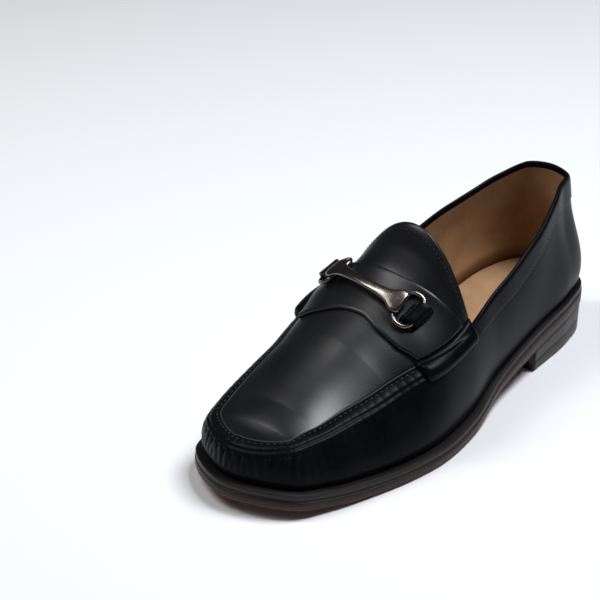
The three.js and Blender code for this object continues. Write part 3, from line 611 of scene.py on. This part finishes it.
def leather_material(name, dark, light, rough, ior, bump, grain=900.0, wave=40.0):
    """Leather with grain, slow waves and a gloss that varies between two roughness values."""
    material, tree, shader = new_material(name)
    relief = tree.nodes.new("ShaderNodeGroup")
    relief.node_tree = bpy.data.node_groups.get("leather_relief") or soft_grain()
    relief.inputs["Grain size"].default_value = grain
    relief.inputs["Wave size"].default_value = wave
    colour = tree.nodes.new("ShaderNodeValToRGB")
    colour.color_ramp.elements[0].position, colour.color_ramp.elements[1].position = 0.35, 0.65
    colour.color_ramp.elements[0].color = (*dark, 1)
    colour.color_ramp.elements[1].color = (*light, 1)
    gloss = tree.nodes.new("ShaderNodeMapRange")
    gloss.inputs["To Min"].default_value, gloss.inputs["To Max"].default_value = rough
    height = tree.nodes.new("ShaderNodeBump")
    height.inputs["Strength"].default_value = bump
    height.inputs["Distance"].default_value = 0.0004
    links = tree.links
    links.new(relief.outputs["Mask"], colour.inputs["Fac"])
    links.new(relief.outputs["Mask"], gloss.inputs["Value"])
    links.new(relief.outputs["Height"], height.inputs["Height"])
    links.new(colour.outputs["Color"], shader.inputs["Base Color"])
    links.new(gloss.outputs["Result"], shader.inputs["Roughness"])
    links.new(height.outputs["Normal"], shader.inputs["Normal"])
    shader.inputs["IOR"].default_value = ior
    return material


def edge_material(name, dark, light):
    """Stacked edge of the sole and heel, brown with fine layers."""
    material, tree, shader = new_material(name)
    place = tree.nodes.new("ShaderNodeTexCoord")
    split = tree.nodes.new("ShaderNodeMapping")
    split.inputs["Scale"].default_value = (25, 25, 900)
    layers = tree.nodes.new("ShaderNodeTexNoise")
    layers.inputs["Scale"].default_value = 1.0
    ramp = tree.nodes.new("ShaderNodeValToRGB")
    ramp.color_ramp.elements[0].position, ramp.color_ramp.elements[1].position = 0.3, 0.7
    ramp.color_ramp.elements[0].color = (*dark, 1)
    ramp.color_ramp.elements[1].color = (*light, 1)
    height = tree.nodes.new("ShaderNodeBump")
    height.inputs["Strength"].default_value = 0.12
    height.inputs["Distance"].default_value = 0.0003
    links = tree.links
    links.new(place.outputs["Object"], split.inputs["Vector"])
    links.new(split.outputs["Vector"], layers.inputs["Vector"])
    links.new(layers.outputs["Fac"], ramp.inputs["Fac"])
    links.new(layers.outputs["Fac"], height.inputs["Height"])
    links.new(ramp.outputs["Color"], shader.inputs["Base Color"])
    links.new(height.outputs["Normal"], shader.inputs["Normal"])
    shader.inputs["Roughness"].default_value = 0.42
    shader.inputs["IOR"].default_value = 1.3
    return material


def metal_material():
    """Dark polished metal with faint wear."""
    material, tree, shader = new_material("bit_metal")
    place = tree.nodes.new("ShaderNodeTexCoord")
    wear = tree.nodes.new("ShaderNodeTexNoise")
    wear.inputs["Scale"].default_value = 260.0
    gloss = tree.nodes.new("ShaderNodeMapRange")
    gloss.inputs["To Min"].default_value, gloss.inputs["To Max"].default_value = 0.14, 0.3
    tree.links.new(place.outputs["Object"], wear.inputs["Vector"])
    tree.links.new(wear.outputs["Fac"], gloss.inputs["Value"])
    tree.links.new(gloss.outputs["Result"], shader.inputs["Roughness"])
    shader.inputs["Base Color"].default_value = (0.2, 0.175, 0.155, 1)
    shader.inputs["Metallic"].default_value = 1.0
    return material


def thread_material():
    """Waxed black thread with a fine twist."""
    material, tree, shader = new_material("thread")
    place = tree.nodes.new("ShaderNodeTexCoord")
    twist = tree.nodes.new("ShaderNodeTexWave")
    twist.inputs["Scale"].default_value = 900.0
    height = tree.nodes.new("ShaderNodeBump")
    height.inputs["Strength"].default_value = 0.4
    height.inputs["Distance"].default_value = 0.0001
    tree.links.new(place.outputs["Object"], twist.inputs["Vector"])
    tree.links.new(twist.outputs["Fac"], height.inputs["Height"])
    tree.links.new(height.outputs["Normal"], shader.inputs["Normal"])
    shader.inputs["Base Color"].default_value = (0.007, 0.007, 0.009, 1)
    shader.inputs["Roughness"].default_value = 0.55
    return material


FINISHES = {}


def finish(name):
    """Material of a finish, made when it is first asked for."""
    if name not in FINISHES:
        colours = bpy.context.scene.loafer_colours
        dark = np.array(colours.leather)
        tan = np.array(colours.lining)
        makers = {
            "upper": lambda: leather_material(
                "polished_leather", dark * 0.7, dark * 1.3, (0.27, 0.38), 1.13, 0.1),
            "apron": lambda: leather_material(
                "apron_leather", dark * 0.8, dark * 1.4, (0.3, 0.4), 1.45, 0.12),
            "welt": lambda: leather_material(
                "welt_leather", (0.004, 0.0035, 0.0035), (0.009, 0.007, 0.0065), (0.42, 0.55), 1.25, 0.2),
            "lining": lambda: leather_material(
                "lining_leather", tan * 0.8, tan, (0.55, 0.7), 1.35, 0.3, 700.0, 60.0),
            "edge": lambda: edge_material("sole_edge", (0.014, 0.0105, 0.0095), (0.03, 0.022, 0.019)),
            "tread": lambda: edge_material("tread_line", (0.06, 0.022, 0.014), (0.12, 0.05, 0.032)),
            "metal": metal_material,
            "thread": thread_material,
        }
        FINISHES[name] = makers[name]()
    return FINISHES[name]


def strip_section(seam, band, share):
    """Height of the raised strip over a share of its width: a ridge with a groove, or a flat band."""
    ridge = np.sin(math.pi * np.clip(share, 0, 1) ** 0.85) ** 0.7
    groove = 0.45 * np.exp(-((share - 0.34) / 0.06) ** 2)
    flat = np.clip(share / 0.1, 0, 1) * np.clip((1 - share) / 0.12, 0, 1)
    return SEAM_RAISE * seam * np.maximum(ridge - groove, 0) + BAND_RAISE * band * flat


def pucker(along, below, amount, pitch, depth):
    """Gathers under the seam: pits at the holes, swellings between them, fading down the wall."""
    phase = math.pi * along / pitch
    gather = (np.abs(np.cos(phase)) ** 0.7 - 0.55) * np.exp(-(below / PUCKER_REACH) ** 1.6)
    drift = 0.6 * np.sin(along / 11.0) + 0.4 * np.sin(along / 4.7 + 1.3)
    folds = 0.17 * np.sin(2.6 * phase + 3.2 * drift) * np.exp(-((below - FOLD_DROP) / FOLD_REACH) ** 2)
    return depth * amount * (gather + folds)


class LoaferSizes(bpy.types.PropertyGroup):
    pucker_pitch: bpy.props.FloatProperty(
        name="Pucker pitch", description="Distance between the gathers under the seam",
        default=0.0056, unit="LENGTH")
    pucker_depth: bpy.props.FloatProperty(
        name="Pucker depth", description="Height of the gathers under the seam",
        default=0.001, unit="LENGTH")
    stitch_pitch: bpy.props.FloatProperty(
        name="Stitch pitch", description="Distance between the stitches of the tongue and the collar",
        default=0.0029, unit="LENGTH")


class LoaferColours(bpy.types.PropertyGroup):
    leather: bpy.props.FloatVectorProperty(
        name="Leather", description="Colour of the polished leather", subtype="COLOR",
        default=(0.0035, 0.0037, 0.005))
    lining: bpy.props.FloatVectorProperty(
        name="Lining", description="Colour of the lining and the insole", subtype="COLOR",
        default=(0.42, 0.25, 0.13))


def plate(name, corners, materials, node, slot, rows=None):
    """Plate across the shoe: rungs from the outer side to the inner one, heel to toe."""
    outer = np.arange(HALF + 1)
    inner = (RING - outer) % RING
    lines = [corner[outer] for corner in corners] + [corner[inner] for corner in corners[::-1]]
    piece(name, np.stack(lines, axis=1), materials, node, slot, closed=True, rows=rows)


class LOAFER_OT_sole(bpy.types.Operator):
    """Outsole, heel block and welt"""
    bl_idname = "loafer.sole"
    bl_label = "Sole"

    def execute(self, context):
        at = ring.at
        top, bottom = sole_top_at(at), bottom_at(at)
        crease = bottom + TREAD_THICKNESS
        corners = [ring.inset(SOLE_BEVEL, top), ring.inset(EDGE_ROUND, top), ring.inset(0, top - EDGE_ROUND),
                   ring.inset(0, crease + TREAD_GROOVE), ring.inset(TREAD_GROOVE, crease),
                   ring.inset(TREAD_SET_IN, crease - TREAD_GROOVE),
                   ring.inset(TREAD_SET_IN, bottom + SOLE_BEVEL), ring.inset(SOLE_BEVEL, bottom)]
        edge, tread = 0, 1
        rows = [edge] * 4 + [tread] * 7 + [edge] * 5
        plate("outsole", corners, [finish("edge"), finish("tread")], "outsole", "sole", rows)
        self.heel()
        inner = ledge_at(at) + WALL
        base, crest = top + 0.02, welt_top_at(at)
        corners = [ring.inset(WELT_STEP, base), ring.inset(WELT_STEP, crest - WELT_BEVEL),
                   ring.inset(WELT_STEP + 0.25, crest - 0.25), ring.inset(WELT_STEP + WELT_BEVEL, crest),
                   ring.inset(ledge_at(at) - 0.8, crest), ring.inset(inner, crest), ring.inset(inner, base)]
        piece("welt", np.stack(corners, axis=1), [finish("edge"), finish("welt")], "welt", "welt",
              closed=True, around=True, rows=[0, 0, 1, 1, 1, 1, 1])
        return {"FINISHED"}

    def heel(self):
        """Heel block, cut off straight at its breast."""
        breast = HEEL_CENTRE - HEEL_LENGTH
        count = int(np.argmax(ring.place[:, 1] < breast))
        bottom = bottom_at(ring.at) - GAP
        rows = ((0, 0.0), (0.03, 0.0), (0.49, 0.03), (0.5, 0.12), (0.51, 0.03), (0.96, 0.0), (1, 0.5))
        layers = []
        for share, inset in rows:
            layers.append(ring.inset(HEEL_SET_IN + HEEL_TAPER * share + inset, bottom * (1 - share)))
        outer = np.arange(count)
        inner = (RING - outer) % RING
        lines = [layer[outer] for layer in layers] + [layer[inner] for layer in layers[::-1]]
        grid = np.stack(lines, axis=1)
        grid[-1, :, 1] = breast
        piece("heel", grid, [finish("edge")], "heel", "sole", closed=True)


class LOAFER_OT_insole(bpy.types.Operator):
    """Insole with its rounded edge"""
    bl_idname = "loafer.insole"
    bl_label = "Insole"

    def execute(self, context):
        edge = ledge_at(ring.at) + WALL + GAP
        top = welt_top_at(ring.at) + INSOLE_RISE
        corners = [ring.inset(edge + 6, top + 0.15), ring.inset(edge + 1, top), ring.inset(edge, top - 0.6),
                   ring.inset(edge, sole_top_at(ring.at) + GAP)]
        plate("insole", corners, [finish("lining")], "insole", "lining")
        return {"FINISHED"}


def wall_outer(context):
    """Outer surface of the upper with its ridge, band, gathers and soft creases."""
    sizes = context.scene.loafer_sizes
    seam, band = ring.wall("seam")[:, None], ring.wall("band")[:, None]
    share = np.linspace(0, 1, STRIP_FINE + 1)[None, :]
    lift = np.zeros((RING, TOP + 1))
    lift[:, WALL_FINE:] = strip_section(seam, band, share)
    row = wall_base[:, WALL_FINE]
    step = np.linalg.norm(np.diff(row, axis=0, append=row[:1]), axis=1)
    along = np.cumsum(step)
    along = (along - along[HALF])[:, None]
    pitch, depth = sizes.pucker_pitch / MM, sizes.pucker_depth / MM
    pinch = np.abs(np.sin(math.pi * along / pitch)) ** 8
    lift[:, WALL_FINE:] *= 1 - 0.1 * seam * pinch
    below = np.linalg.norm(wall_base[:, :WALL_FINE + 1] - row[:, None], axis=-1)
    front, toe = smoothstep(ring.at, 0.66, 0.74)[:, None], smoothstep(ring.at, 0.86, 0.97)[:, None]
    amount = seam * front * (0.5 + toe)
    foot = smoothstep(np.linspace(0, 1, WALL_FINE + 1), 0.0, 0.35)[None, :]
    lift[:, :WALL_FINE + 1] += foot * pucker(along, below, amount, pitch, depth)
    collar_line = np.exp(-(below / 1.1) ** 2) * band
    lift[:, :WALL_FINE + 1] -= 0.12 * collar_line
    return wall_base + wall_normals * lift[..., None]


def groove_shade_cord():
    """Near-black cord of the thread finish that fills the groove between the ridge and the apron: painted
    shade along the groove.
    """
    line = np.concatenate([apron[:0:-1, 0], apron[1:, -1]])
    up = np.concatenate([apron_normals[:0:-1, 0], apron_normals[1:, -1]])
    side = np.cross(up, unit(np.gradient(line, axis=0)))
    lines = []
    for turn in 2 * math.pi * np.arange(8) / 8:
        out = side * math.cos(turn) + up * math.sin(turn)
        lines.append(line - SHADE_CORD_SINK * up + SHADE_CORD_RADIUS * out)
    # the dark thread finish on this cord paints the groove's shade
    piece("groove_shade_cord", np.stack(lines, axis=1), [finish("thread")], closed=True)


class LOAFER_OT_upper(bpy.types.Operator):
    """Upper with its seam ridge, collar band, rim and lining"""
    bl_idname = "loafer.upper"
    bl_label = "Upper"

    def execute(self, context):
        outer = wall_outer(context)
        rounding = (RIM_ROUND * ring.wall("band"))[:, None]
        up = unit(wall_base[:, TOP] - wall_base[:, TOP - 1])
        inner = [wall_base[:, j] - WALL * wall_normals[:, j] for j in (TOP, TOP - 3, WALL_FINE)]
        inner += [wall_base[:, j] - WALL * wall_normals[:, j] for j in range(WALL_FINE - 4, 2, -4)]
        foot = ring.inset(ledge_at(ring.at) + WALL, wall_base[:, 0, 2])
        rim = []
        for share in (0.15, 0.32, 0.5, 0.68, 0.85):
            swell = 4 * share * (1 - share)
            rim.append(outer[:, TOP] * (1 - share) + inner[0] * share + rounding * swell * up)
        lines = [outer[:, j] for j in range(TOP + 1)] + rim + inner + [foot]
        leather, lining = 0, 1
        rows = [leather] * (TOP + 7) + [lining] * (len(lines) - TOP - 6)
        piece("upper", np.stack(lines, axis=1), [finish("upper"), finish("lining")], "upper",
              closed=True, around=True, rows=rows)
        sizes = context.scene.loafer_sizes
        rear = np.concatenate([np.arange(RING - REAR_FINE + 4, RING), np.arange(0, REAR_FINE - 4)])
        way = wall_normals[rear, WALL_FINE + 1]
        path = outer[rear, WALL_FINE + 1] + 0.1 * way
        stitches("collar_stitches", [(path, way)], finish("thread"), sizes.stitch_pitch / MM)
        front = np.nonzero((ring.at > SEAM_FROM) & (ring.wall("seam") > 0.9))[0]
        for row in SEAM_STITCHES:
            way = wall_normals[front, row["row"]]
            path = outer[front, row["row"]] - row["drop"] * way
            pitch = sizes.pucker_pitch / MM * row["spacing"]
            stitches(row["name"], [(path, way)], finish("thread"), pitch, row["length"], 0.9)
        groove_shade_cord()
        return {"FINISHED"}


class LOAFER_OT_apron(bpy.types.Operator):
    """Apron and tongue with their lining and edge stitching"""
    bl_idname = "loafer.apron"
    bl_label = "Apron and tongue"

    def execute(self, context):
        start = 2
        top = apron[start:].copy()
        normals = apron_normals[start:]
        column = np.arange(APRON_FINE + 1)
        edge = np.minimum(column, APRON_FINE - column) / 3
        sunk = np.exp(-edge ** 2)[None, :] * 0.35
        near_toe = np.exp(-(np.arange(len(top)) / 4.0) ** 2)[:, None] * 0.35
        top = top - normals * np.maximum(sunk, near_toe)[..., None]
        below = apron[start:] - PLUG_THICKNESS * normals
        tuck = np.clip(np.minimum(column, APRON_FINE - column) / 6, 0, 1)[None, :, None]
        below = below * tuck + (apron[start:] - 0.9 * normals) * (1 - tuck)
        grid = np.concatenate([top, below[:, ::-1]], axis=1)
        count = top.shape[1]
        leather, lining = 0, 1
        rows = [leather] * count + [lining] * (count + 1)
        piece("apron_and_tongue", grid, [finish("apron"), finish("lining")], "plug", closed=True, rows=rows)
        columns = np.linspace(0.9, PLUG_COLUMNS - 0.9, 160)
        path = on_apron(THROAT + TONGUE_ROW, columns, 0.12)
        pitch = context.scene.loafer_sizes.stitch_pitch / MM
        stitches("tongue_stitches", [path], finish("thread"), pitch)
        return {"FINISHED"}


class LOAFER_OT_saddle(bpy.types.Operator):
    """Saddle strap over the apron with a rounded edge"""
    bl_idname = "loafer.saddle"
    bl_label = "Saddle strap"

    def execute(self, context):
        columns = np.linspace(SADDLE_END, PLUG_COLUMNS - SADDLE_END, 90)
        across = across_of(columns)
        rear, front = read(SADDLE_EDGES, "rear", across), read(SADDLE_EDGES, "front", across)
        section = [(0, 0.0), (0, 0.55), (0.012, 0.9), (0.03, 1.0)]
        section += [(share, 1.0) for share in np.linspace(0.07, 0.93, 22)]
        section += [(0.97, 1.0), (0.988, 0.9), (1, 0.55), (1, 0.0)]
        section += [(share, 0.0) for share in np.linspace(0.93, 0.07, 10)]
        lines = []
        for share, height in section:
            lift = SADDLE_GAP * 0.4 + SADDLE_THICKNESS * height + 0.3 * height
            lines.append(on_apron(rear + (front - rear) * share, columns, lift)[0])
        piece("saddle", np.stack(lines, axis=1), [finish("apron")], "saddle", closed=True)
        return {"FINISHED"}


class LOAFER_OT_rolls(bpy.types.Operator):
    """Rolled leather at both ends of the saddle"""
    bl_idname = "loafer.rolls"
    bl_label = "Rolls"

    def execute(self, context):
        rungs = np.arange(FRONT_FINE + 1)
        sides = (("roll_lateral", HALF - rungs, 1), ("roll_medial", (HALF + rungs) % RING, -1))
        for name, index, edge in sides:
            used = (ring.at[index] >= ROLL_SPAN[0]) & (ring.at[index] <= ROLL_SPAN[1])
            self.roll(name, index[used], rungs[used], edge)
        return {"FINISHED"}

    def roll(self, name, index, rungs, edge):
        """Leather that swells over the strip and the apron's edge."""
        fold = strip_section(ring.wall("seam")[:, None], ring.wall("band")[:, None],
                             np.linspace(0, 1, STRIP_FINE + 1)[None, :])
        base, ways = [], []
        for j in range(0, STRIP_FINE + 1, 2):
            normal = wall_normals[index, WALL_FINE + j]
            base.append(wall_base[index, WALL_FINE + j] + normal * fold[index, j][:, None])
            ways.append(normal)
        reach = APRON_FINE // PLUG_COLUMNS * ROLL_COLUMNS
        for j in range(2, reach + 1, 2):
            column = APRON_FINE - j if edge > 0 else j
            base.append(apron[rungs, column])
            ways.append(apron_normals[rungs, column])
        base, ways = np.stack(base, axis=1), np.stack(ways, axis=1)
        share = np.linspace(0, 1, base.shape[1])
        height = np.interp(share, [p[0] for p in ROLL_PROFILE], [p[1] for p in ROLL_PROFILE])
        ends = np.minimum(np.arange(len(index)), np.arange(len(index))[::-1]) / 4.0
        ends = 0.25 + 0.75 * np.sqrt(np.clip(1 - (1 - np.clip(ends, 0, 1)) ** 2, 0, 1))
        upper = base + ways * (GAP + ROLL_HEIGHT * height[None, :] * ends[:, None])[..., None]
        lower = base + ways * GAP * 0.5
        piece(name, np.concatenate([upper, lower[:, ::-1]], axis=1), [finish("upper")], name, closed=True)


def column_along(column, distance):
    """Column that lies a distance along the saddle from another, at the bit."""
    columns = column + np.sign(distance) * np.linspace(0, 6, 1201)
    points, _ = saddle_top(bit_at(columns), columns)
    gone = np.concatenate([[0], np.cumsum(np.linalg.norm(np.diff(points, axis=0), axis=1))])
    return float(np.interp(abs(distance), gone, columns))


class RingPlace:
    """Flat frame of a ring on the saddle, the line of its wire and its height."""

    def __init__(self, bar_end, side):
        inner = column_along(bar_end, -side * RING_TUCK)
        self.bow = column_along(inner, side * RING_REACH)
        (start, start_up), (end, end_up) = (saddle_top(bit_at(c), c) for c in (inner, self.bow))
        self.middle = (start + end) / 2
        self.out = unit(end - start)
        self.along = unit(np.cross(start_up + end_up, self.out))
        self.up = np.cross(self.out, self.along)
        angle = 2 * math.pi * np.arange(96) / 96
        soft = [np.sign(v) * np.abs(v) ** 0.78 for v in (np.cos(angle), np.sin(angle))]
        self.line = (self.middle + soft[0][:, None] * self.out * RING_REACH / 2
                     + soft[1][:, None] * self.along * RING_LENGTH / 2)
        columns = np.arange(max(self.bow - 4, 0), min(self.bow + 4, PLUG_COLUMNS), 0.1)
        near = bit_at(columns)[:, None] + np.arange(-0.05, 0.05, 0.002)[None, :]
        field = saddle_top(near, columns[:, None])[0].reshape(-1, 3)
        heights = []
        for point in self.line:
            offset = field - point
            beside = np.hypot(offset @ self.out, offset @ self.along)
            heights.append(np.max((offset @ self.up)[beside < RING_WIRE / 2]))
        heights = np.array(heights)
        self.lift = heights.max() + RING_WIRE / 2 + GAP
        bow = (self.line - self.middle) @ self.out > RING_REACH * 0.4
        self.top = self.lift + RING_WIRE / 2 - heights[bow].min()


class LOAFER_OT_bit(bpy.types.Operator):
    """Metal bar and its two rings"""
    bl_idname = "loafer.bit"
    bl_label = "Bit"

    def execute(self, context):
        self.bar()
        self.ring("bit_ring_lateral", RingPlace(BAR_ENDS["lateral"], 1))
        self.ring("bit_ring_medial", RingPlace(BAR_ENDS["medial"], -1))
        return {"FINISHED"}

    def bar(self):
        """Bar that follows the saddle and flares towards its ends."""
        shares = np.concatenate([[-1, -0.995, -0.98], np.linspace(-0.96, 0.96, 65), [0.98, 0.995, 1]])
        columns = BAR_ENDS["medial"] + (BAR_ENDS["lateral"] - BAR_ENDS["medial"]) * (1 + shares) / 2
        place, normal = saddle_top(bit_at(columns), columns, BAR_HOVER)
        ahead, _ = saddle_top(bit_at(columns + 0.1), columns + 0.1, BAR_HOVER)
        behind, _ = saddle_top(bit_at(columns - 0.1), columns - 0.1, BAR_HOVER)
        along = unit(np.cross(normal, ahead - behind))
        half = BAR_FLARE * read(BAR_SHAPE, "half", np.abs(shares))
        narrow = 1 - 0.12 * smoothstep(np.abs(shares), 0.95, 1)
        thick = BAR_THICKNESS * (1 - 0.35 * smoothstep(np.abs(shares), 0.975, 1))
        angle = 2 * math.pi * (np.arange(20) + 0.5) / 20
        lines = []
        for turn in angle:
            across = np.sign(math.cos(turn)) * abs(math.cos(turn)) ** 0.6
            up = 0.5 + 0.5 * np.sign(math.sin(turn)) * abs(math.sin(turn)) ** 0.8
            lines.append(place + along * (half * narrow * across)[:, None] + normal * (thick * up)[:, None])
        piece("bit_bar", np.stack(lines, axis=1), [finish("metal")], "bit_bar", "bit_metal", closed=True)

    def ring(self, name, seat):
        """Ring of round wire in its place."""
        line = seat.line
        way = unit(np.roll(line, -1, axis=0) - np.roll(line, 1, axis=0))
        outward = np.cross(way, seat.up)
        lines = []
        for turn in 2 * math.pi * np.arange(16) / 16:
            lines.append(line + outward * RING_WIRE / 2 * math.cos(turn)
                         + seat.up * (seat.lift + RING_WIRE / 2 * math.sin(turn)))
        piece(name, np.stack(lines, axis=1), [finish("metal")], name, "bit_metal", closed=True, around=True)


class LOAFER_OT_keepers(bpy.types.Operator):
    """Strap ends folded over the rings and sewn to the saddle"""
    bl_idname = "loafer.keepers"
    bl_label = "Keepers"

    def execute(self, context):
        half_span = (KEEPER_WIDTH / 2 / LENGTH) * 0.93
        section = [(-1, 0.0), (-1, 0.6), (-0.97, 0.9), (-0.92, 1.0), (-0.5, 1.0), (0, 1.0), (0.5, 1.0),
                   (0.92, 1.0), (0.97, 0.9), (1, 0.6), (1, 0.0), (0.5, 0.0), (0, 0.0), (-0.5, 0.0)]
        outs = np.linspace(KEEPER_FOLD[0]["at"], KEEPER_FOLD[-1]["at"], 34)
        rows = []
        sides = (("keeper_lateral", BAR_ENDS["lateral"], 1), ("keeper_medial", BAR_ENDS["medial"], -1))
        for name, end, side in sides:
            seat = RingPlace(end, side)
            columns = np.array([column_along(seat.bow, side * out if out else 1e-6) for out in outs])
            height = GAP + seat.top * read(KEEPER_FOLD, "rise", outs)
            lines = []
            for share, up in section:
                lift = height + KEEPER_THICKNESS * up
                lines.append(saddle_top(bit_at(columns) + share * half_span, columns, lift)[0])
            piece(name, np.stack(lines, axis=1), [finish("upper")], name, closed=True)
            for out in (-6.4, -5.2):
                column = column_along(seat.bow, side * out)
                spread = np.linspace(-0.82, 0.82, 30) * half_span
                rows.append(saddle_top(bit_at(column) + spread, column, GAP + KEEPER_THICKNESS + 0.1))
        stitches("keeper_stitches", rows, finish("thread"), 2.1, 1.4, 0.5)
        return {"FINISHED"}


def area_light(name, place, target, size, power, colour=(1, 1, 1)):
    """Rectangular light that points at a target."""
    data = bpy.data.lights.new(name, "AREA")
    data.shape = "RECTANGLE"
    data.size, data.size_y = size
    data.energy = power
    data.color = colour
    lamp = bpy.data.objects.new(name, data)
    lamp.location = place
    lamp.rotation_mode = "QUATERNION"
    lamp.rotation_quaternion = (Vector(target) - Vector(place)).to_track_quat("-Z", "Y")
    bpy.context.scene.collection.objects.link(lamp)


class LOAFER_OT_stage(bpy.types.Operator):
    """Floor, lights and camera"""
    bl_idname = "loafer.stage"
    bl_label = "Stage"

    def execute(self, context):
        bm = bmesh.new()
        bmesh.ops.create_grid(bm, x_segments=2, y_segments=2, size=12)
        mesh = bpy.data.meshes.new("floor")
        bm.to_mesh(mesh)
        bm.free()
        floor = bpy.data.objects.new("floor", mesh)
        floor.location.z = -0.0003
        material, _, shader = new_material("floor_paper")
        shader.inputs["Base Color"].default_value = (0.86, 0.86, 0.87, 1)
        shader.inputs["Roughness"].default_value = 0.9
        mesh.materials.append(material)
        context.scene.collection.objects.link(floor)
        world = bpy.data.worlds.new("studio")
        world.use_nodes = True
        sky = world.node_tree.nodes["Background"]
        sky.inputs["Color"].default_value = (*COOL_WHITE, 1)
        path = world.node_tree.nodes.new("ShaderNodeLightPath")
        level = world.node_tree.nodes.new("ShaderNodeMapRange")
        level.inputs["To Min"].default_value, level.inputs["To Max"].default_value = 0.05, 0.95
        world.node_tree.links.new(path.outputs["Is Camera Ray"], level.inputs["Value"])
        world.node_tree.links.new(level.outputs["Result"], sky.inputs["Strength"])
        context.scene.world = world
        context.scene.view_settings.view_transform = "Standard"
        for light in LIGHTS:
            area_light(**light)
        data = bpy.data.cameras.new("camera")
        data.sensor_width = 36
        data.lens = CAMERA_LENS
        data.clip_start = 0.05
        camera = bpy.data.objects.new("camera", data)
        azimuth, elevation = math.radians(CAMERA_AZIMUTH), math.radians(CAMERA_ELEVATION)
        flat = math.cos(elevation)
        back = Vector((math.sin(azimuth) * flat, -math.cos(azimuth) * flat, math.sin(elevation)))
        camera.location = CAMERA_PLACE
        camera.rotation_mode = "QUATERNION"
        camera.rotation_quaternion = (-back).to_track_quat("-Z", "Y")
        context.scene.collection.objects.link(camera)
        context.scene.camera = camera
        return {"FINISHED"}


PIECE_OPERATORS = (LOAFER_OT_sole, LOAFER_OT_insole, LOAFER_OT_upper, LOAFER_OT_apron, LOAFER_OT_saddle,
                   LOAFER_OT_rolls, LOAFER_OT_bit, LOAFER_OT_keepers, LOAFER_OT_stage)


class LOAFER_PT_pieces(bpy.types.Panel):
    """Lists the loafer's sizes, colours and pieces"""
    bl_idname = "LOAFER_PT_pieces"
    bl_label = "Loafer"
    bl_space_type = "VIEW_3D"
    bl_region_type = "UI"
    bl_category = "Loafer"

    def draw(self, context):
        layout = self.layout
        for group in (context.scene.loafer_sizes, context.scene.loafer_colours):
            for name in group.__annotations__:
                layout.prop(group, name)
        for operator in PIECE_OPERATORS:
            layout.operator(operator.bl_idname)


CLASSES = (LoaferSizes, LoaferColours, *PIECE_OPERATORS, LOAFER_PT_pieces)


def register():
    for cls in CLASSES:
        bpy.utils.register_class(cls)
    bpy.types.Scene.loafer_sizes = bpy.props.PointerProperty(type=LoaferSizes)
    bpy.types.Scene.loafer_colours = bpy.props.PointerProperty(type=LoaferColours)


def unregister():
    del bpy.types.Scene.loafer_colours
    del bpy.types.Scene.loafer_sizes
    for cls in reversed(CLASSES):
        bpy.utils.unregister_class(cls)


def main():
    """Makes every piece and the stage."""
    register()
    for operator in PIECE_OPERATORS:
        group, name = operator.bl_idname.split(".")
        getattr(getattr(bpy.ops, group), name)()


if __name__ == "__main__":
    main()
